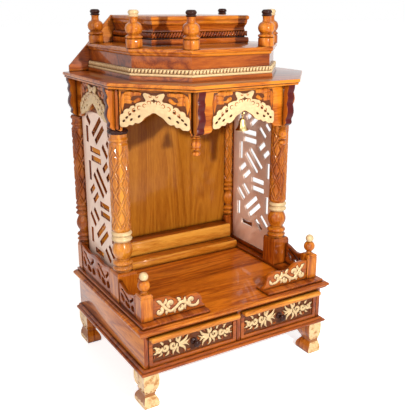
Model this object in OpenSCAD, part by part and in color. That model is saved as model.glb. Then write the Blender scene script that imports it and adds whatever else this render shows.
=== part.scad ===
// Wooden home temple with a half octagonal canopy, two drawers and a hanging bell.
// Millimetres. The origin is on the floor under the middle of the whole, and the front faces -Y.

/* [Deck and base] */
// Width of the deck board
deck_w = 610; // [580:1:660]
// Depth of the deck board
deck_d = 468; // [445:1:476]
// Thickness of the deck board
deck_t = 12; // [8:1:18]
// Height of the moulding under the deck board
moulding_h = 9; // [6:1:14]
// How far the deck board overhangs the drawer case
deck_overhang = 18; // [12:1:24]
// Height of the drawer case
case_h = 92; // [80:1:120]
// Wall thickness of the drawer case
case_wall = 12; // [8:1:16]
// Thickness of the plate under the drawer case
plate_t = 15; // [10:1:20]
// How far the plate stands out of the drawer case
plate_overhang = 14; // [8:1:18]
// Height of the raised rim on the deck
rim_h = 8; // [4:1:14]

/* [Feet] */
// Height of a foot
foot_h = 100; // [70:1:130]
// Width of a foot at its knee, along the front
foot_w = 45; // [36:1:60]
// Depth of a foot at its knee, along the side
foot_d = 62; // [44:1:76]

/* [Drawers] */
// Running gap beside and above a drawer
drawer_gap = 1.5; // [1:0.1:3]
// Gap between the side of a drawer box and the case
box_gap = 5; // [2:0.5:8]
// Height that a drawer box stays under its front's lip
box_drop = 12; // [6:1:20]
// Gap between the floor of a drawer and the plate that it slides on
runner_gap = 0.3; // [0.2:0.05:0.6]
// Thickness of a drawer front
drawer_front_t = 14; // [10:1:20]
// Thickness of the sides, back and floor of a drawer
drawer_wall = 8; // [5:1:12]
// Room behind a drawer box
drawer_room = 34; // [5:1:80]
// How far the lip on a drawer stands out of its front
lip_out = 22; // [14:1:24]
// Thickness of the lip on a drawer
lip_t = 13; // [8:1:18]
// Diameter of a drawer knob
knob_d = 20; // [14:1:26]
// How far a drawer knob stands out
knob_out = 22; // [14:1:24]

/* [Columns] */
// Side of a square column plinth
plinth_w = 56; // [52:1:58]
// Height of a column plinth
plinth_h = 82; // [60:1:100]
// Diameter of a column shaft
shaft_d = 52; // [40:1:54]
// How far the turned rings stand out of a shaft
ring_out = 1.5; // [1:0.5:3]
// Height of a column from the rim to the top of its capital
column_h = 465; // [420:1:560]
// Distance of the column axes from the side edge of the deck
column_inset = 48; // [44:1:56]
// Distance of the front column axes from the front edge of the deck
column_setback = 198; // [188:1:218]
// Height of the turned vase and rings at the foot of a shaft
vase_h = 122; // [100:1:140]
// Height of the turned neck and capital at the top of a shaft
neck_h = 40; // [30:1:50]

/* [Newels, rails and panels] */
// Side of a square newel
newel_w = 34; // [28:1:40]
// Height of the square part of a newel
newel_h = 72; // [56:1:90]
// Distance of the newel axes from the side edge of the deck
newel_inset = 39; // [36:1:46]
// Distance of the newel axes from the front edge of the deck
newel_setback = 52; // [44:1:64]
// Diameter of the wooden ball on a newel
ball_d = 32; // [24:1:36]
// Diameter of the gilt ball on a newel
small_ball_d = 23; // [16:1:26]
// Height of the side rails beside the lattices
rail_h = 80; // [60:1:82]
// Height of the side rails beside the newels
front_rail_h = 62; // [46:1:70]
// Thickness of the side rails
rail_t = 10; // [6:1:12]
// Length of the front panels
panel_l = 154; // [120:1:180]
// Height of the front panels
panel_h = 58; // [46:1:70]
// Thickness of the front panels
panel_t = 12; // [8:1:16]
// Thickness of the side lattices
lattice_t = 7; // [5:1:10]
// How far the side lattices reach above the capitals
lattice_over = 21; // [10:1:60]
// Width of the slots in a side lattice
slot_w = 16; // [10:1:17]
// Height of the wooden sill under a side lattice
sill_h = 12; // [8:1:20]
// Width of the wooden stile between a side lattice and the rear column
stile_w = 6; // [4:1:20]
// Thickness of the back panel
back_t = 8; // [6:1:12]

/* [Back step] */
// Depth of the lower step, from the back panel
step_low_d = 90; // [70:1:110]
// Height of the lower step above the rim
step_low_h = 17; // [10:1:26]
// Depth of the upper step, from the back panel
step_high_d = 48; // [30:1:60]
// Height of the upper step above the lower one
step_high_h = 46; // [30:1:60]

/* [Canopy] */
// Distance of the slab's side edge behind the deck's side edge
slab_inset = 7; // [0:1:12]
// How far the slab stands out in front of the deck
slab_front_out = 12; // [9:1:26]
// Length of the slab's cut corner along its side
cut_side = 170; // [160:1:180]
// Length of the slab's cut corner along its front
cut_front = 146; // [136:1:154]
// Thickness of the canopy slab
slab_t = 15; // [10:1:20]
// How far the slab overhangs the frieze
slab_overhang = 27; // [24:1:30]
// Thickness of the frieze boards
frieze_t = 10; // [8:1:12]
// Height of the frieze boards
frieze_h = 105; // [95:1:120]
// Height of the pointed opening's tip above the lower edge of the frieze
arch_rise = 50; // [36:1:56]
// Half width of the pointed opening, in hundredths of the shortest frieze board
arch_share = 22.3; // [18:0.1:23]
// Thickness of the gilt arches
gilt_t = 5; // [3:1:6]
// Side of a square canopy post
post_w = 18; // [14:1:20]
// Width of a bracket under the slab
bracket_w = 20; // [14:1:24]
// Diameter of the turned drops at the front
drop_d = 24; // [18:1:28]
// Length of the turned drops at the front
drop_h = 52; // [40:1:64]

/* [Roof tiers] */
// How far the lower tier stands back from the edge of the slab
tier_inset = 72; // [60:1:80]
// Height of the lower tier's foot, under the beading
tier_foot_h = 10; // [6:1:16]
// Height of the beading
bead_h = 18; // [12:1:24]
// Height of the lower tier's wall above the beading
tier_wall_h = 30; // [24:1:44]
// Height of the lower tier's cap moulding
tier_cap_h = 18; // [12:1:22]
// How far the upper tier's cap stands back from the slab's side edge
crown_side_in = 149; // [140:1:160]
// How far the upper tier's cap stands back from the slab's front edge
crown_front_in = 224; // [214:1:240]
// How far a cap moulding stands out of its wall
cap_out = 9; // [6:1:12]
// Height of the upper tier's foot, under the rope
crown_foot_h = 18; // [12:1:24]
// Height of the rope band
rope_h = 16; // [10:1:20]
// Height of the upper tier's wall above the rope
crown_wall_h = 18; // [12:1:30]
// Height of the upper tier's cap moulding
crown_cap_h = 22; // [14:1:26]
// Height of a finial
finial_h = 90; // [70:1:110]
// Diameter of a finial
finial_d = 43; // [34:1:46]
// Thickness of the board behind the tiers
roof_back_t = 8; // [6:1:12]

/* [Bell] */
// Height of the bell's body
bell_h = 30; // [26:1:44]
// Diameter of the bell's mouth
bell_d = 33; // [24:1:40]
// Thickness of the bell's wall
bell_wall = 2; // [1.5:0.1:3]
// Diameter of the wire of the two rings that the bell hangs by
ring_wire = 2; // [1.5:0.1:2.5]
// Radius of those rings to the middle of their wire
ring_r = 4; // [3.6:0.1:5]
// Gap between the two rings where the bell hangs
ring_gap = 0.3; // [0.2:0.05:0.5]

/* [Hidden] */
$fn = 64;

// Heights, from the floor up
plate_z = foot_h;
case_z = plate_z + plate_t;
moulding_z = case_z + case_h;
board_z = moulding_z + moulding_h;
floor_z = board_z + deck_t;
rim_z = floor_z + rim_h;
plinth_z = rim_z + plinth_h;
capital_z = rim_z + column_h;
slab_z = capital_z + frieze_h;
slab_top = slab_z + slab_t;
bead_z = slab_top + tier_foot_h;
wall_z = bead_z + bead_h;
cap_z = wall_z + tier_wall_h;
cap_top = cap_z + tier_cap_h;
rope_z = cap_top + crown_foot_h;
crown_wall_z = rope_z + rope_h;
crown_cap_z = crown_wall_z + crown_wall_h;
crown_top = crown_cap_z + crown_cap_h;

// Plan: x from the middle, and f as the distance in front of the back face
column_x = deck_w / 2 - column_inset;
column_front = deck_d - column_setback;
newel_x = deck_w / 2 - newel_inset;
newel_front = deck_d - newel_setback;
front_gap = 2 * (newel_x - newel_w / 2 - panel_l);
slab_x = deck_w / 2 - slab_inset;
slab_d = deck_d + slab_front_out;
slab_side = slab_d - cut_side;
slab_front_x = slab_x - cut_front;
crown_x = slab_x - crown_side_in;
crown_d = slab_d - crown_front_in;
lattice_top = capital_z + lattice_over;
case_x = deck_w / 2 - deck_overhang;
case_f = deck_d - deck_overhang;
plate_x = case_x + plate_overhang;
plate_f = case_f + plate_overhang;
reach = max(slab_d, deck_d, plate_f, case_f + lip_out, case_f + knob_out);
back_y = reach / 2;
foot_out = 6;
rim_x = deck_w / 2 - 14;
rim_f = deck_d - 14;
rim_in = column_x - plinth_w / 2;
rim_front_in = newel_front - newel_w / 2 - 2;
panel_f = newel_front + newel_w / 2 - 3 - panel_t;
column_half = max(plinth_w, shaft_d + 2 * ring_out) / 2;

// Drawers
drawer_w = case_x - case_wall - case_wall / 2 - 2 * drawer_gap;
drawer_x = case_wall / 2 + drawer_gap + drawer_w / 2;
drawer_z = case_z + runner_gap;
drawer_h = case_h - runner_gap - drawer_gap;
drawer_box_h = drawer_h - lip_t - box_drop;
drawer_box_d = case_f - drawer_front_t - case_wall - drawer_room;
knob_z = drawer_z + (drawer_h - lip_t) / 2;

// Canopy plan, as the outer face of the frieze
frieze_x = slab_x - slab_overhang;
frieze_f = slab_d - slab_overhang;
drop_f = frieze_f - post_w / 2;
arch_z = capital_z;
lattice_x = frieze_x - frieze_t;
sill_out = 5;
tier_wall_inset = tier_inset + cap_out;
finial_gap = 0.5;
back_board_in = 18;
back_board_edge = 16;
crown_wall_x = crown_x - cap_out;
crown_wall_d = crown_d - cap_out;

// The bell hangs from the tip of the front arch, its hook's end just under the point
hook_drop = 0.4;
bell_f = frieze_f - frieze_t / 2;
hook_stem = 2.5;
hook_z = arch_z + arch_rise - hook_drop;
eye_z = hook_z - hook_stem - ring_r;
pivot_z = eye_z - ring_r;
loop_z = pivot_z + ring_wire + ring_gap - ring_r;
crown_stem = 3;
bell_top = loop_z - ring_r - crown_stem;

// Unit normal of the slab's chamfer, in x and f
chamfer_l = norm([slab_x - slab_front_x, slab_d - slab_side]);
chamfer_n = [(slab_d - slab_side) / chamfer_l, (slab_x - slab_front_x) / chamfer_l];
chamfer_c = chamfer_n[0] * slab_x + chamfer_n[1] * slab_side;

// Corner between the side and the chamfer, moved in by d
function side_corner(d) = [slab_x - d, (chamfer_c - d - chamfer_n[0] * (slab_x - d)) / chamfer_n[1]];
// Corner between the chamfer and the front, moved in by d
function front_corner(d) = [(chamfer_c - d - chamfer_n[1] * (slab_d - d)) / chamfer_n[0], slab_d - d];
// Outline of the half octagon, moved in by d, with its back at distance b
function half_octagon(d, b = 0) = let (s = side_corner(d), c = front_corner(d)) [
    [-s[0], -b], [-s[0], -s[1]], [-c[0], -c[1]], [c[0], -c[1]], [s[0], -s[1]], [s[0], -b]
];

chamfer_mid = (side_corner(slab_overhang) + front_corner(slab_overhang)) / 2;
chamfer_len = norm(side_corner(slab_overhang) - front_corner(slab_overhang));
chamfer_turn = atan2(chamfer_n[0], chamfer_n[1]);
front_board = 2 * (front_corner(slab_overhang)[0] - post_w);
side_board = side_corner(slab_overhang)[1] - 2 * post_w - back_t;
arch_half = arch_share / 100 * min(front_board, side_board, chamfer_len);

module at_back() {
    translate([0, back_y, 0])
        children();
}

module both_sides() {
    children();
    mirror([1, 0, 0])
        children();
}

// A block between two x, two distances from the back face and two heights
module block(x0, x1, f0, f1, z0, z1) {
    translate([x0, -f1, z0])
        cube([x1 - x0, f1 - f0, z1 - z0]);
}

// A slab with a bullnose front half as thick, on three sides
module nosed_board(w, d, z, t) {
    nose = t / 2;
    block(-w / 2 + nose, w / 2 - nose, 0, d - nose, z, z + t);
    intersection() {
        union() {
            for (s = [-1, 1])
                translate([s * (w / 2 - nose), 0, z + nose])
                    rotate([90, 0, 0])
                        cylinder(r = nose, h = d - nose);
            translate([-w / 2 + nose, -d + nose, z + nose])
                rotate([0, 90, 0])
                    cylinder(r = nose, h = w - 2 * nose);
            for (s = [-1, 1])
                translate([s * (w / 2 - nose), -d + nose, z + nose])
                    sphere(r = nose);
        }
        block(-w / 2, w / 2, 0, d, z, z + t);
    }
}

// Feet

// Outline of a carved foot on one face, from the corner inwards
module foot_profile(w) {
    polygon([
        [0, 0], [w * 0.80, 0], [w * 0.92, foot_h * 0.05], [w * 0.90, foot_h * 0.15],
        [w * 0.76, foot_h * 0.27], [w * 0.70, foot_h * 0.42], [w * 0.78, foot_h * 0.58],
        [w * 0.96, foot_h * 0.72], [w, foot_h * 0.84], [w * 0.97, foot_h * 0.94], [w * 0.90, foot_h],
        [0, foot_h],
    ]);
}

module foot(w, d) {
    color("goldenrod")
        intersection() {
            rotate([90, 0, 0])
                linear_extrude(d)
                    foot_profile(w);
            rotate([90, 0, -90])
                translate([0, 0, -w])
                    linear_extrude(w)
                        foot_profile(d);
        }
}

// Feet stand under the corners of the case, with the corner edge outwards
module foot_front_left() {
    translate([-case_x - foot_out, back_y - case_f - foot_out, 0])
        mirror([0, 1, 0])
            foot(foot_w, foot_d);
}
module foot_front_right() {
    mirror([1, 0, 0])
        foot_front_left();
}
module foot_rear_left() {
    translate([-case_x - foot_out, back_y, 0])
        foot(foot_w, foot_d);
}
module foot_rear_right() {
    mirror([1, 0, 0])
        foot_rear_left();
}

// Drawer case

module base_plate() {
    color("chocolate")
        at_back()
            nosed_board(2 * plate_x, plate_f, plate_z, plate_t);
}

module case_side() {
    color("peru")
        at_back()
            block(case_x - case_wall, case_x, 0, case_f, case_z, moulding_z);
}
module case_right() case_side();
module case_left() mirror([1, 0, 0]) case_side();

module case_back() {
    color("peru")
        at_back()
            block(-case_x + case_wall, case_x - case_wall, 0, case_wall, case_z, moulding_z);
}

module case_divider() {
    color("peru")
        at_back()
            block(-case_wall / 2, case_wall / 2, case_wall, case_f, case_z, moulding_z);
}

// Deck

module deck_moulding() {
    color("saddlebrown")
        at_back()
            nosed_board(deck_w - 10, deck_d - 5, moulding_z, moulding_h);
}

module deck_board() {
    color("chocolate")
        at_back()
            nosed_board(deck_w, deck_d, board_z, deck_t);
}

module rim() {
    color("chocolate")
        at_back() {
            block(rim_in, rim_x, 0, rim_f, floor_z, rim_z);
            block(front_gap / 2, rim_in, rim_front_in, rim_f, floor_z, rim_z);
        }
}
module rim_right() rim();
module rim_left() mirror([1, 0, 0]) rim();

// Drawers, drawn at the right

module drawer_box() {
    w = drawer_w + 2 * (drawer_gap - box_gap);
    front = case_f - drawer_front_t;
    color("burlywood")
        at_back()
            translate([drawer_x, 0, 0])
                difference() {
                    block(-w / 2, w / 2, front - drawer_box_d, front, drawer_z, drawer_z + drawer_box_h);
                    block(-w / 2 + drawer_wall, w / 2 - drawer_wall, front - drawer_box_d + drawer_wall,
                        front - drawer_wall, drawer_z + drawer_wall, drawer_z + drawer_box_h + 1);
                }
}

module drawer_front() {
    lip_z = drawer_z + drawer_h - lip_t;
    nose = lip_t / 2;
    color("peru")
        at_back()
            translate([drawer_x, 0, 0]) {
                block(-drawer_w / 2, drawer_w / 2, case_f - drawer_front_t, case_f, drawer_z, drawer_z + drawer_h);
                block(-drawer_w / 2, drawer_w / 2, case_f, case_f + lip_out - nose, lip_z, lip_z + lip_t);
                translate([-drawer_w / 2, -case_f - lip_out + nose, lip_z + nose])
                    rotate([0, 90, 0])
                        cylinder(d = lip_t, h = drawer_w);
            }
}

module drawer_knob() {
    color("saddlebrown")
        at_back()
            translate([drawer_x, -case_f, knob_z])
                rotate([90, 0, 0])
                    rotate_extrude()
                        polygon([
                            [0, 0], [knob_d * 0.42, 0], [knob_d * 0.42, 2], [knob_d * 0.22, 4],
                            [knob_d * 0.22, knob_out * 0.4], [knob_d * 0.46, knob_out * 0.6],
                            [knob_d * 0.5, knob_out * 0.76], [knob_d * 0.4, knob_out * 0.93],
                            [0, knob_out],
                        ]);
}

module drawer_right_box() drawer_box();
module drawer_right_front() drawer_front();
module drawer_right_knob() drawer_knob();
module drawer_left_box() mirror([1, 0, 0]) drawer_box();
module drawer_left_front() mirror([1, 0, 0]) drawer_front();
module drawer_left_knob() mirror([1, 0, 0]) drawer_knob();

// Newels, rails and front panels

module newel() {
    neck = 8;
    ball_r = ball_d / 2;
    small_r = small_ball_d / 2;
    ball_z = newel_h + neck + ball_r * 0.9;
    small_z = ball_z + ball_r * 0.9 + small_r * 0.8;
    color("peru")
        translate([newel_x, back_y - newel_front, rim_z]) {
            translate([-newel_w / 2, -newel_w / 2, 0])
                cube([newel_w, newel_w, newel_h]);
            translate([0, 0, newel_h])
                cylinder(r = ball_r * 0.7, h = neck);
            translate([0, 0, ball_z])
                sphere(r = ball_r);
            translate([0, 0, small_z])
                sphere(r = small_r);
        }
}
module newel_right() newel();
module newel_left() mirror([1, 0, 0]) newel();

// Outline of a front panel, from the newel towards the middle
module front_panel_profile(w) {
    polygon([
        [0, 0], [0, panel_h], [w * 0.16, panel_h * 0.97], [w * 0.30, panel_h * 0.96], [w * 0.38, panel_h * 0.84],
        [w * 0.46, panel_h * 0.70], [w * 0.55, panel_h * 0.71], [w * 0.66, panel_h * 0.78],
        [w * 0.78, panel_h * 0.78], [w * 0.90, panel_h * 0.66], [w * 0.93, panel_h * 0.34],
        [w, panel_h * 0.12], [w, 0],
    ]);
}

module front_panel() {
    w = panel_l;
    color("peru")
        translate([newel_x - newel_w / 2, back_y - panel_f, rim_z])
            mirror([1, 0, 0])
                rotate([90, 0, 0])
                    linear_extrude(panel_t)
                        front_panel_profile(w);
}
module front_panel_right() front_panel();
module front_panel_left() mirror([1, 0, 0]) front_panel();

// Outline of a pierced side rail of length w and height h, with waves along its top
module rail_profile(w, h, waves, fall) {
    pitch = w / waves;
    difference() {
        polygon(concat([[0, 0]],
            [for (i = [0:waves * 8]) [i * pitch / 8, h - fall * (1 - cos(i * 45)) / 2]],
            [[w, 0]]));
        for (i = [0:waves - 1])
            translate([(i + 0.5) * pitch, h * 0.42])
                circle(r = h * 0.24);
    }
}

// A rail between two distances from the back face
module side_rail(f0, f1, h, waves, fall) {
    color("sienna")
        translate([column_x + plinth_w / 2 - 2, back_y - f0, rim_z])
            rotate([90, 0, -90])
                linear_extrude(rail_t)
                    rail_profile(f1 - f0, h, waves, fall);
}

module side_rails() {
    side_rail(column_half, column_front - column_half, rail_h, 2, rail_h * 0.1);
    side_rail(column_front + column_half, newel_front - newel_w / 2, front_rail_h, 1, front_rail_h * 0.2);
}
module side_rails_right() side_rails();
module side_rails_left() mirror([1, 0, 0]) side_rails();

// Columns

// Half outline of a turned shaft of height h, from the vase at its foot to the capital
module column_profile(r, ring, h) {
    waist = r * 0.73;
    v = vase_h;
    n = neck_h;
    polygon([
        [0, 0], [r, 0], [r + ring, v * 0.03], [r + ring, v * 0.08], [r * 0.88, v * 0.12],
        [r + ring, v * 0.16], [r + ring, v * 0.22], [waist, v * 0.28], [r * 0.96, v * 0.39],
        [r + ring, v * 0.5], [r * 0.96, v * 0.61], [waist, v * 0.67], [r * 0.96, v * 0.69],
        [r + ring, v * 0.72], [r + ring, v * 0.77], [r * 0.92, v * 0.8], [r + ring, v * 0.84],
        [r + ring, v * 0.89], [r * 0.96, v * 0.93], [r, v],
        [r, h - n], [r * 0.85, h - n * 0.82], [r * 0.96, h - n * 0.6], [r * 0.85, h - n * 0.4],
        [r + ring, h - n * 0.3], [r + ring, h - n * 0.08], [r, h], [0, h],
    ]);
}

// A column at a distance from the back face, turned through the given angle
module column(f, turn) {
    r = shaft_d / 2;
    ring = ring_out;
    h = column_h;
    p = plinth_h;
    color("chocolate")
        translate([column_x, back_y - f, rim_z]) {
            translate([-plinth_w / 2, -plinth_w / 2, 0])
                cube([plinth_w, plinth_w * turn / 360, p]);
            translate([0, 0, p])
                rotate([0, 0, 180])
                    rotate_extrude(angle = turn)
                        column_profile(r, ring, h - p);
        }
}
module column_front_right() column(column_front, 360);
module column_front_left() mirror([1, 0, 0]) column(column_front, 360);

// The rear columns are half columns, flat at the back
module column_rear_right() column(0, 180);
module column_rear_left() mirror([1, 0, 0]) column(0, 180);

// Side lattices

// Slots of a lattice, in hundredths: of its width along it, of its height up it,
// the angle in degrees, and the length as hundredths of the width
SLOTS = [
    [41, 77.6, 0, 35], [43, 72.4, 0, 33], [74, 79.7, -40, 20], [86, 83.8, -40, 14],
    [20, 64.1, 90, 27], [73, 70.5, 40, 19], [84, 66.2, 40, 18], [59, 61.4, -40, 40],
    [48, 57.6, -40, 40], [25, 53, 40, 20], [36, 48.7, 40, 22], [90, 55.5, 90, 24],
    [65, 46.6, 0, 31], [66, 40.9, 0, 31], [35, 38.2, -40, 21], [22, 33.8, -40, 23],
    [16, 23, 90, 22], [49, 29.7, 40, 39], [58, 25.7, 40, 37], [89, 32.3, 90, 27],
    [70, 16.7, -40, 21], [83, 20.5, -40, 22], [39, 14.3, 0, 29], [49, 92, 40, 39],
    [58, 88, 40, 37], [16, 85.9, 90, 22], [89, 93.2, 90, 20], [22, 94.6, -40, 15],
];

module lattice() {
    f0 = column_half + stile_w;
    w = column_front - column_half - f0;
    h = lattice_top - rim_z - sill_h;
    color("bisque")
        translate([lattice_x, back_y - f0, rim_z + sill_h])
            rotate([90, 0, -90])
                linear_extrude(lattice_t)
                    difference() {
                        square([w, h]);
                        for (s = SLOTS)
                            translate([s[0] * w, s[1] * h] / 100)
                                rotate(s[2])
                                    square([s[3] * w / 100, slot_w], center = true);
                    }
}
module lattice_right() lattice();
module lattice_left() mirror([1, 0, 0]) lattice();

// A sill under each lattice and a stile behind it
module lattice_frames() {
    x0 = lattice_x - lattice_t - sill_out;
    x1 = lattice_x + sill_out;
    color("saddlebrown")
        at_back()
            both_sides() {
                block(x0, x1, column_half, column_front - column_half, rim_z, rim_z + sill_h);
                block(lattice_x - lattice_t, lattice_x, column_half, column_half + stile_w,
                    rim_z + sill_h, lattice_top);
            }
}

// Back panel and steps

module back_panel() {
    color("peru")
        at_back() {
            block(-rim_in, rim_in, 0, back_t, floor_z, capital_z);
            block(-frieze_x, frieze_x, 0, back_t, capital_z, slab_z);
        }
}

module step(f0, f1, z0, z1) {
    nose = 6;
    half = rim_in;
    color("peru")
        at_back() {
            block(-half, half, f0, f1 - nose, z0, z1);
            intersection() {
                translate([-half, -f1 + nose, z1 - nose])
                    rotate([0, 90, 0])
                        cylinder(r = nose, h = 2 * half);
                block(-half, half, f1 - nose, f1, z0, z1);
            }
            block(-half, half, f1 - nose, f1 - 2, z0, z1 - nose);
        }
}
module step_lower() step(back_t, back_t + step_low_d, floor_z, rim_z + step_low_h);
module step_upper() step(back_t, back_t + step_high_d, rim_z + step_low_h, rim_z + step_low_h + step_high_h);

// Canopy

module roof_slab() {
    color("chocolate")
        at_back() {
            translate([0, 0, slab_z])
                linear_extrude(slab_t * 0.4)
                    polygon(half_octagon(4));
            translate([0, 0, slab_z + slab_t * 0.4])
                linear_extrude(slab_t * 0.6)
                    polygon(half_octagon(0));
        }
}

// Footprint of the corner posts on the right: rear, side corner and front corner
module post_plan() {
    side = side_corner(slab_overhang);
    translate([side[0] - post_w, -post_w - back_t])
        square(post_w);
    translate([side[0] - post_w, -side[1]])
        square(post_w);
    translate([front_corner(slab_overhang)[0] - post_w, -frieze_f])
        square(post_w);
}

module corner_posts() {
    color("chocolate")
        at_back()
            both_sides()
                translate([0, 0, capital_z])
                    linear_extrude(frieze_h)
                        post_plan();
}

// Turned drop under a front post
module drop() {
    r = drop_d / 2;
    color("peru")
        translate([front_corner(slab_overhang)[0] - post_w / 2, back_y - drop_f, capital_z - drop_h])
            rotate_extrude()
                polygon([
                    [0, 0], [r * 0.5, drop_h * 0.02], [r * 0.85, drop_h * 0.10], [r * 0.9, drop_h * 0.17],
                    [r * 0.7, drop_h * 0.25], [r * 0.4, drop_h * 0.29], [r * 0.95, drop_h * 0.33],
                    [r, drop_h * 0.5], [r * 0.95, drop_h * 0.75], [r * 0.7, drop_h * 0.84],
                    [r, drop_h * 0.89], [r, drop_h * 0.95], [r * 0.7, drop_h], [0, drop_h],
                ]);
}
module drop_right() drop();
module drop_left() mirror([1, 0, 0]) drop();

// A wavy bracket under the slab, standing out of the frieze
module bracket() {
    d = slab_overhang - 5;
    h = frieze_h;
    rotate([90, 0, 90])
        translate([0, 0, -bracket_w / 2])
            linear_extrude(bracket_w)
                polygon([
                    [0, 0], [-d * 0.5, h * 0.04], [-d * 0.72, h * 0.11], [-d * 0.55, h * 0.19],
                    [-d * 0.9, h * 0.27], [-d, h * 0.38], [-d * 0.8, h * 0.51], [-d * 0.95, h * 0.65],
                    [-d * 0.8, h * 0.8], [-d, h * 0.92], [-d, h], [0, h],
                ]);
}

module brackets() {
    side = side_corner(slab_overhang);
    color("maroon")
        translate([0, back_y, capital_z])
            both_sides() {
                translate([front_corner(slab_overhang)[0] - post_w / 2, -frieze_f, 0])
                    bracket();
                for (f = [back_t + post_w / 2 + 2, side[1] - bracket_w])
                    translate([frieze_x, -f, 0])
                        rotate([0, 0, 90])
                            bracket();
            }
}

// Outline of a frieze board of length w with a pointed opening in its lower edge
module frieze_profile(w) {
    a = arch_half;
    r = arch_rise;
    h = frieze_h;
    polygon([
        [-w / 2, 0], [-w / 2, h], [w / 2, h], [w / 2, 0],
        [a * 2, h * 0.02], [a * 1.9, h * 0.15], [a * 1.27, h * 0.2], [a * 0.96, h * 0.23],
        [a * 0.73, r * 0.62], [a * 0.49, r * 0.8],
        [0, r],
        [-a * 0.49, r * 0.8], [-a * 0.73, r * 0.62],
        [-a * 0.96, h * 0.23], [-a * 1.27, h * 0.2], [-a * 1.9, h * 0.15], [-a * 2, h * 0.02],
    ]);
}

// A frieze board, its outer face on the plane y = 0
module frieze_board(w) {
    rotate([90, 0, 0])
        translate([0, 0, -frieze_t])
            linear_extrude(frieze_t)
                frieze_profile(w);
}

// Cuts what it holds back to the posts and to the outline of the canopy
module between_posts() {
    at_back()
        difference() {
            intersection() {
                children();
                translate([0, 0, capital_z])
                    linear_extrude(frieze_h)
                        polygon(half_octagon(slab_overhang));
            }
            translate([0, 0, capital_z - 1])
                linear_extrude(frieze_h + 2)
                    both_sides()
                        post_plan();
        }
}

module frieze_front() {
    color("peru")
        translate([0, back_y - frieze_f, capital_z])
            frieze_board(front_board);
}

module frieze_chamfer() {
    color("peru")
        between_posts()
            translate([chamfer_mid[0], -chamfer_mid[1], capital_z])
                rotate([0, 0, chamfer_turn])
                    frieze_board(chamfer_len);
}
module frieze_chamfer_right() frieze_chamfer();
module frieze_chamfer_left() mirror([1, 0, 0]) frieze_chamfer();

module frieze_side() {
    color("peru")
        translate([frieze_x, back_y - back_t - post_w - side_board / 2, capital_z])
            rotate([0, 0, 90])
                frieze_board(side_board);
}
module frieze_side_right() frieze_side();
module frieze_side_left() mirror([1, 0, 0]) frieze_side();

// Outline of half a gilt arch: its outer lobes, its end and the edge of the opening
module gilt_half() {
    a = arch_half;
    r = arch_rise;
    h = frieze_h;
    polygon([
        [0, r], [0, h * 0.91], [a * 0.62, h * 0.91], [a * 0.56, h * 0.76], [a * 0.8, h * 0.68],
        [a * 1.13, h * 0.65], [a * 1.36, h * 0.58], [a * 1.64, h * 0.58], [a * 1.82, h * 0.52],
        [a * 2, h * 0.45], [a * 2.08, h * 0.31], [a * 2.11, h * 0.13], [a * 2, h * 0.12],
        [a * 1.27, h * 0.17], [a * 0.96, h * 0.2], [a * 0.73, r * 0.58], [a * 0.49, r * 0.76],
    ]);
}

module gilt_arch() {
    rotate([90, 0, 0])
        linear_extrude(gilt_t)
            for (s = [0, 1])
                mirror([s, 0, 0])
                    gilt_half();
}

module gilt_arches() {
    side = side_corner(slab_overhang);
    color("khaki")
        translate([0, back_y, capital_z]) {
            translate([0, -frieze_f, 0])
                gilt_arch();
            both_sides() {
                translate([chamfer_mid[0], -chamfer_mid[1], 0])
                    rotate([0, 0, chamfer_turn])
                        gilt_arch();
                translate([frieze_x, -(back_t + side[1]) / 2, 0])
                    rotate([0, 0, 90])
                        gilt_arch();
            }
        }
}

// Roof tiers

module tier_lower() {
    color("chocolate")
        at_back() {
            translate([0, 0, slab_top])
                linear_extrude(tier_foot_h)
                    polygon(half_octagon(tier_inset, roof_back_t));
            translate([0, 0, bead_z])
                linear_extrude(bead_h + tier_wall_h)
                    polygon(half_octagon(tier_wall_inset, roof_back_t));
        }
}

module tier_beading() {
    color("gold")
        at_back()
            translate([0, 0, bead_z])
                linear_extrude(bead_h)
                    difference() {
                        polygon(half_octagon(tier_inset + 1, roof_back_t));
                        polygon(half_octagon(tier_wall_inset, roof_back_t - 1));
                    }
}

module tier_cap() {
    color("chocolate")
        at_back() {
            translate([0, 0, cap_z])
                linear_extrude(tier_cap_h / 3)
                    polygon(half_octagon(tier_inset + cap_out / 2, roof_back_t));
            translate([0, 0, cap_z + tier_cap_h / 3])
                linear_extrude(tier_cap_h * 2 / 3)
                    polygon(half_octagon(tier_inset, roof_back_t));
        }
}

module crown_box() {
    color("chocolate")
        at_back() {
            block(-crown_x, crown_x, roof_back_t, crown_d, cap_top, rope_z);
            block(-crown_wall_x, crown_wall_x, roof_back_t, crown_wall_d, rope_z, crown_cap_z);
        }
}

module crown_rope() {
    color("saddlebrown")
        at_back()
            difference() {
                block(-crown_x + 1, crown_x - 1, roof_back_t, crown_d - 1, rope_z, rope_z + rope_h);
                block(-crown_wall_x, crown_wall_x, roof_back_t - 1, crown_wall_d, rope_z - 1, rope_z + rope_h + 1);
            }
}

module crown_cap() {
    step_h = crown_cap_h / 2;
    color("chocolate")
        at_back() {
            block(-crown_x + cap_out / 2, crown_x - cap_out / 2, roof_back_t, crown_d - cap_out / 2,
                crown_cap_z, crown_cap_z + step_h);
            block(-crown_x, crown_x, roof_back_t, crown_d, crown_cap_z + step_h, crown_top);
        }
}

module roof_back() {
    low = slab_x - back_board_in;
    edge = slab_top + back_board_edge;
    color("chocolate")
        translate([0, back_y, 0])
            rotate([90, 0, 0])
                linear_extrude(roof_back_t)
                    polygon([
                        [-low, slab_top], [low, slab_top], [low, edge],
                        [crown_x, crown_top], [-crown_x, crown_top], [-low, edge],
                    ]);
}

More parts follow.
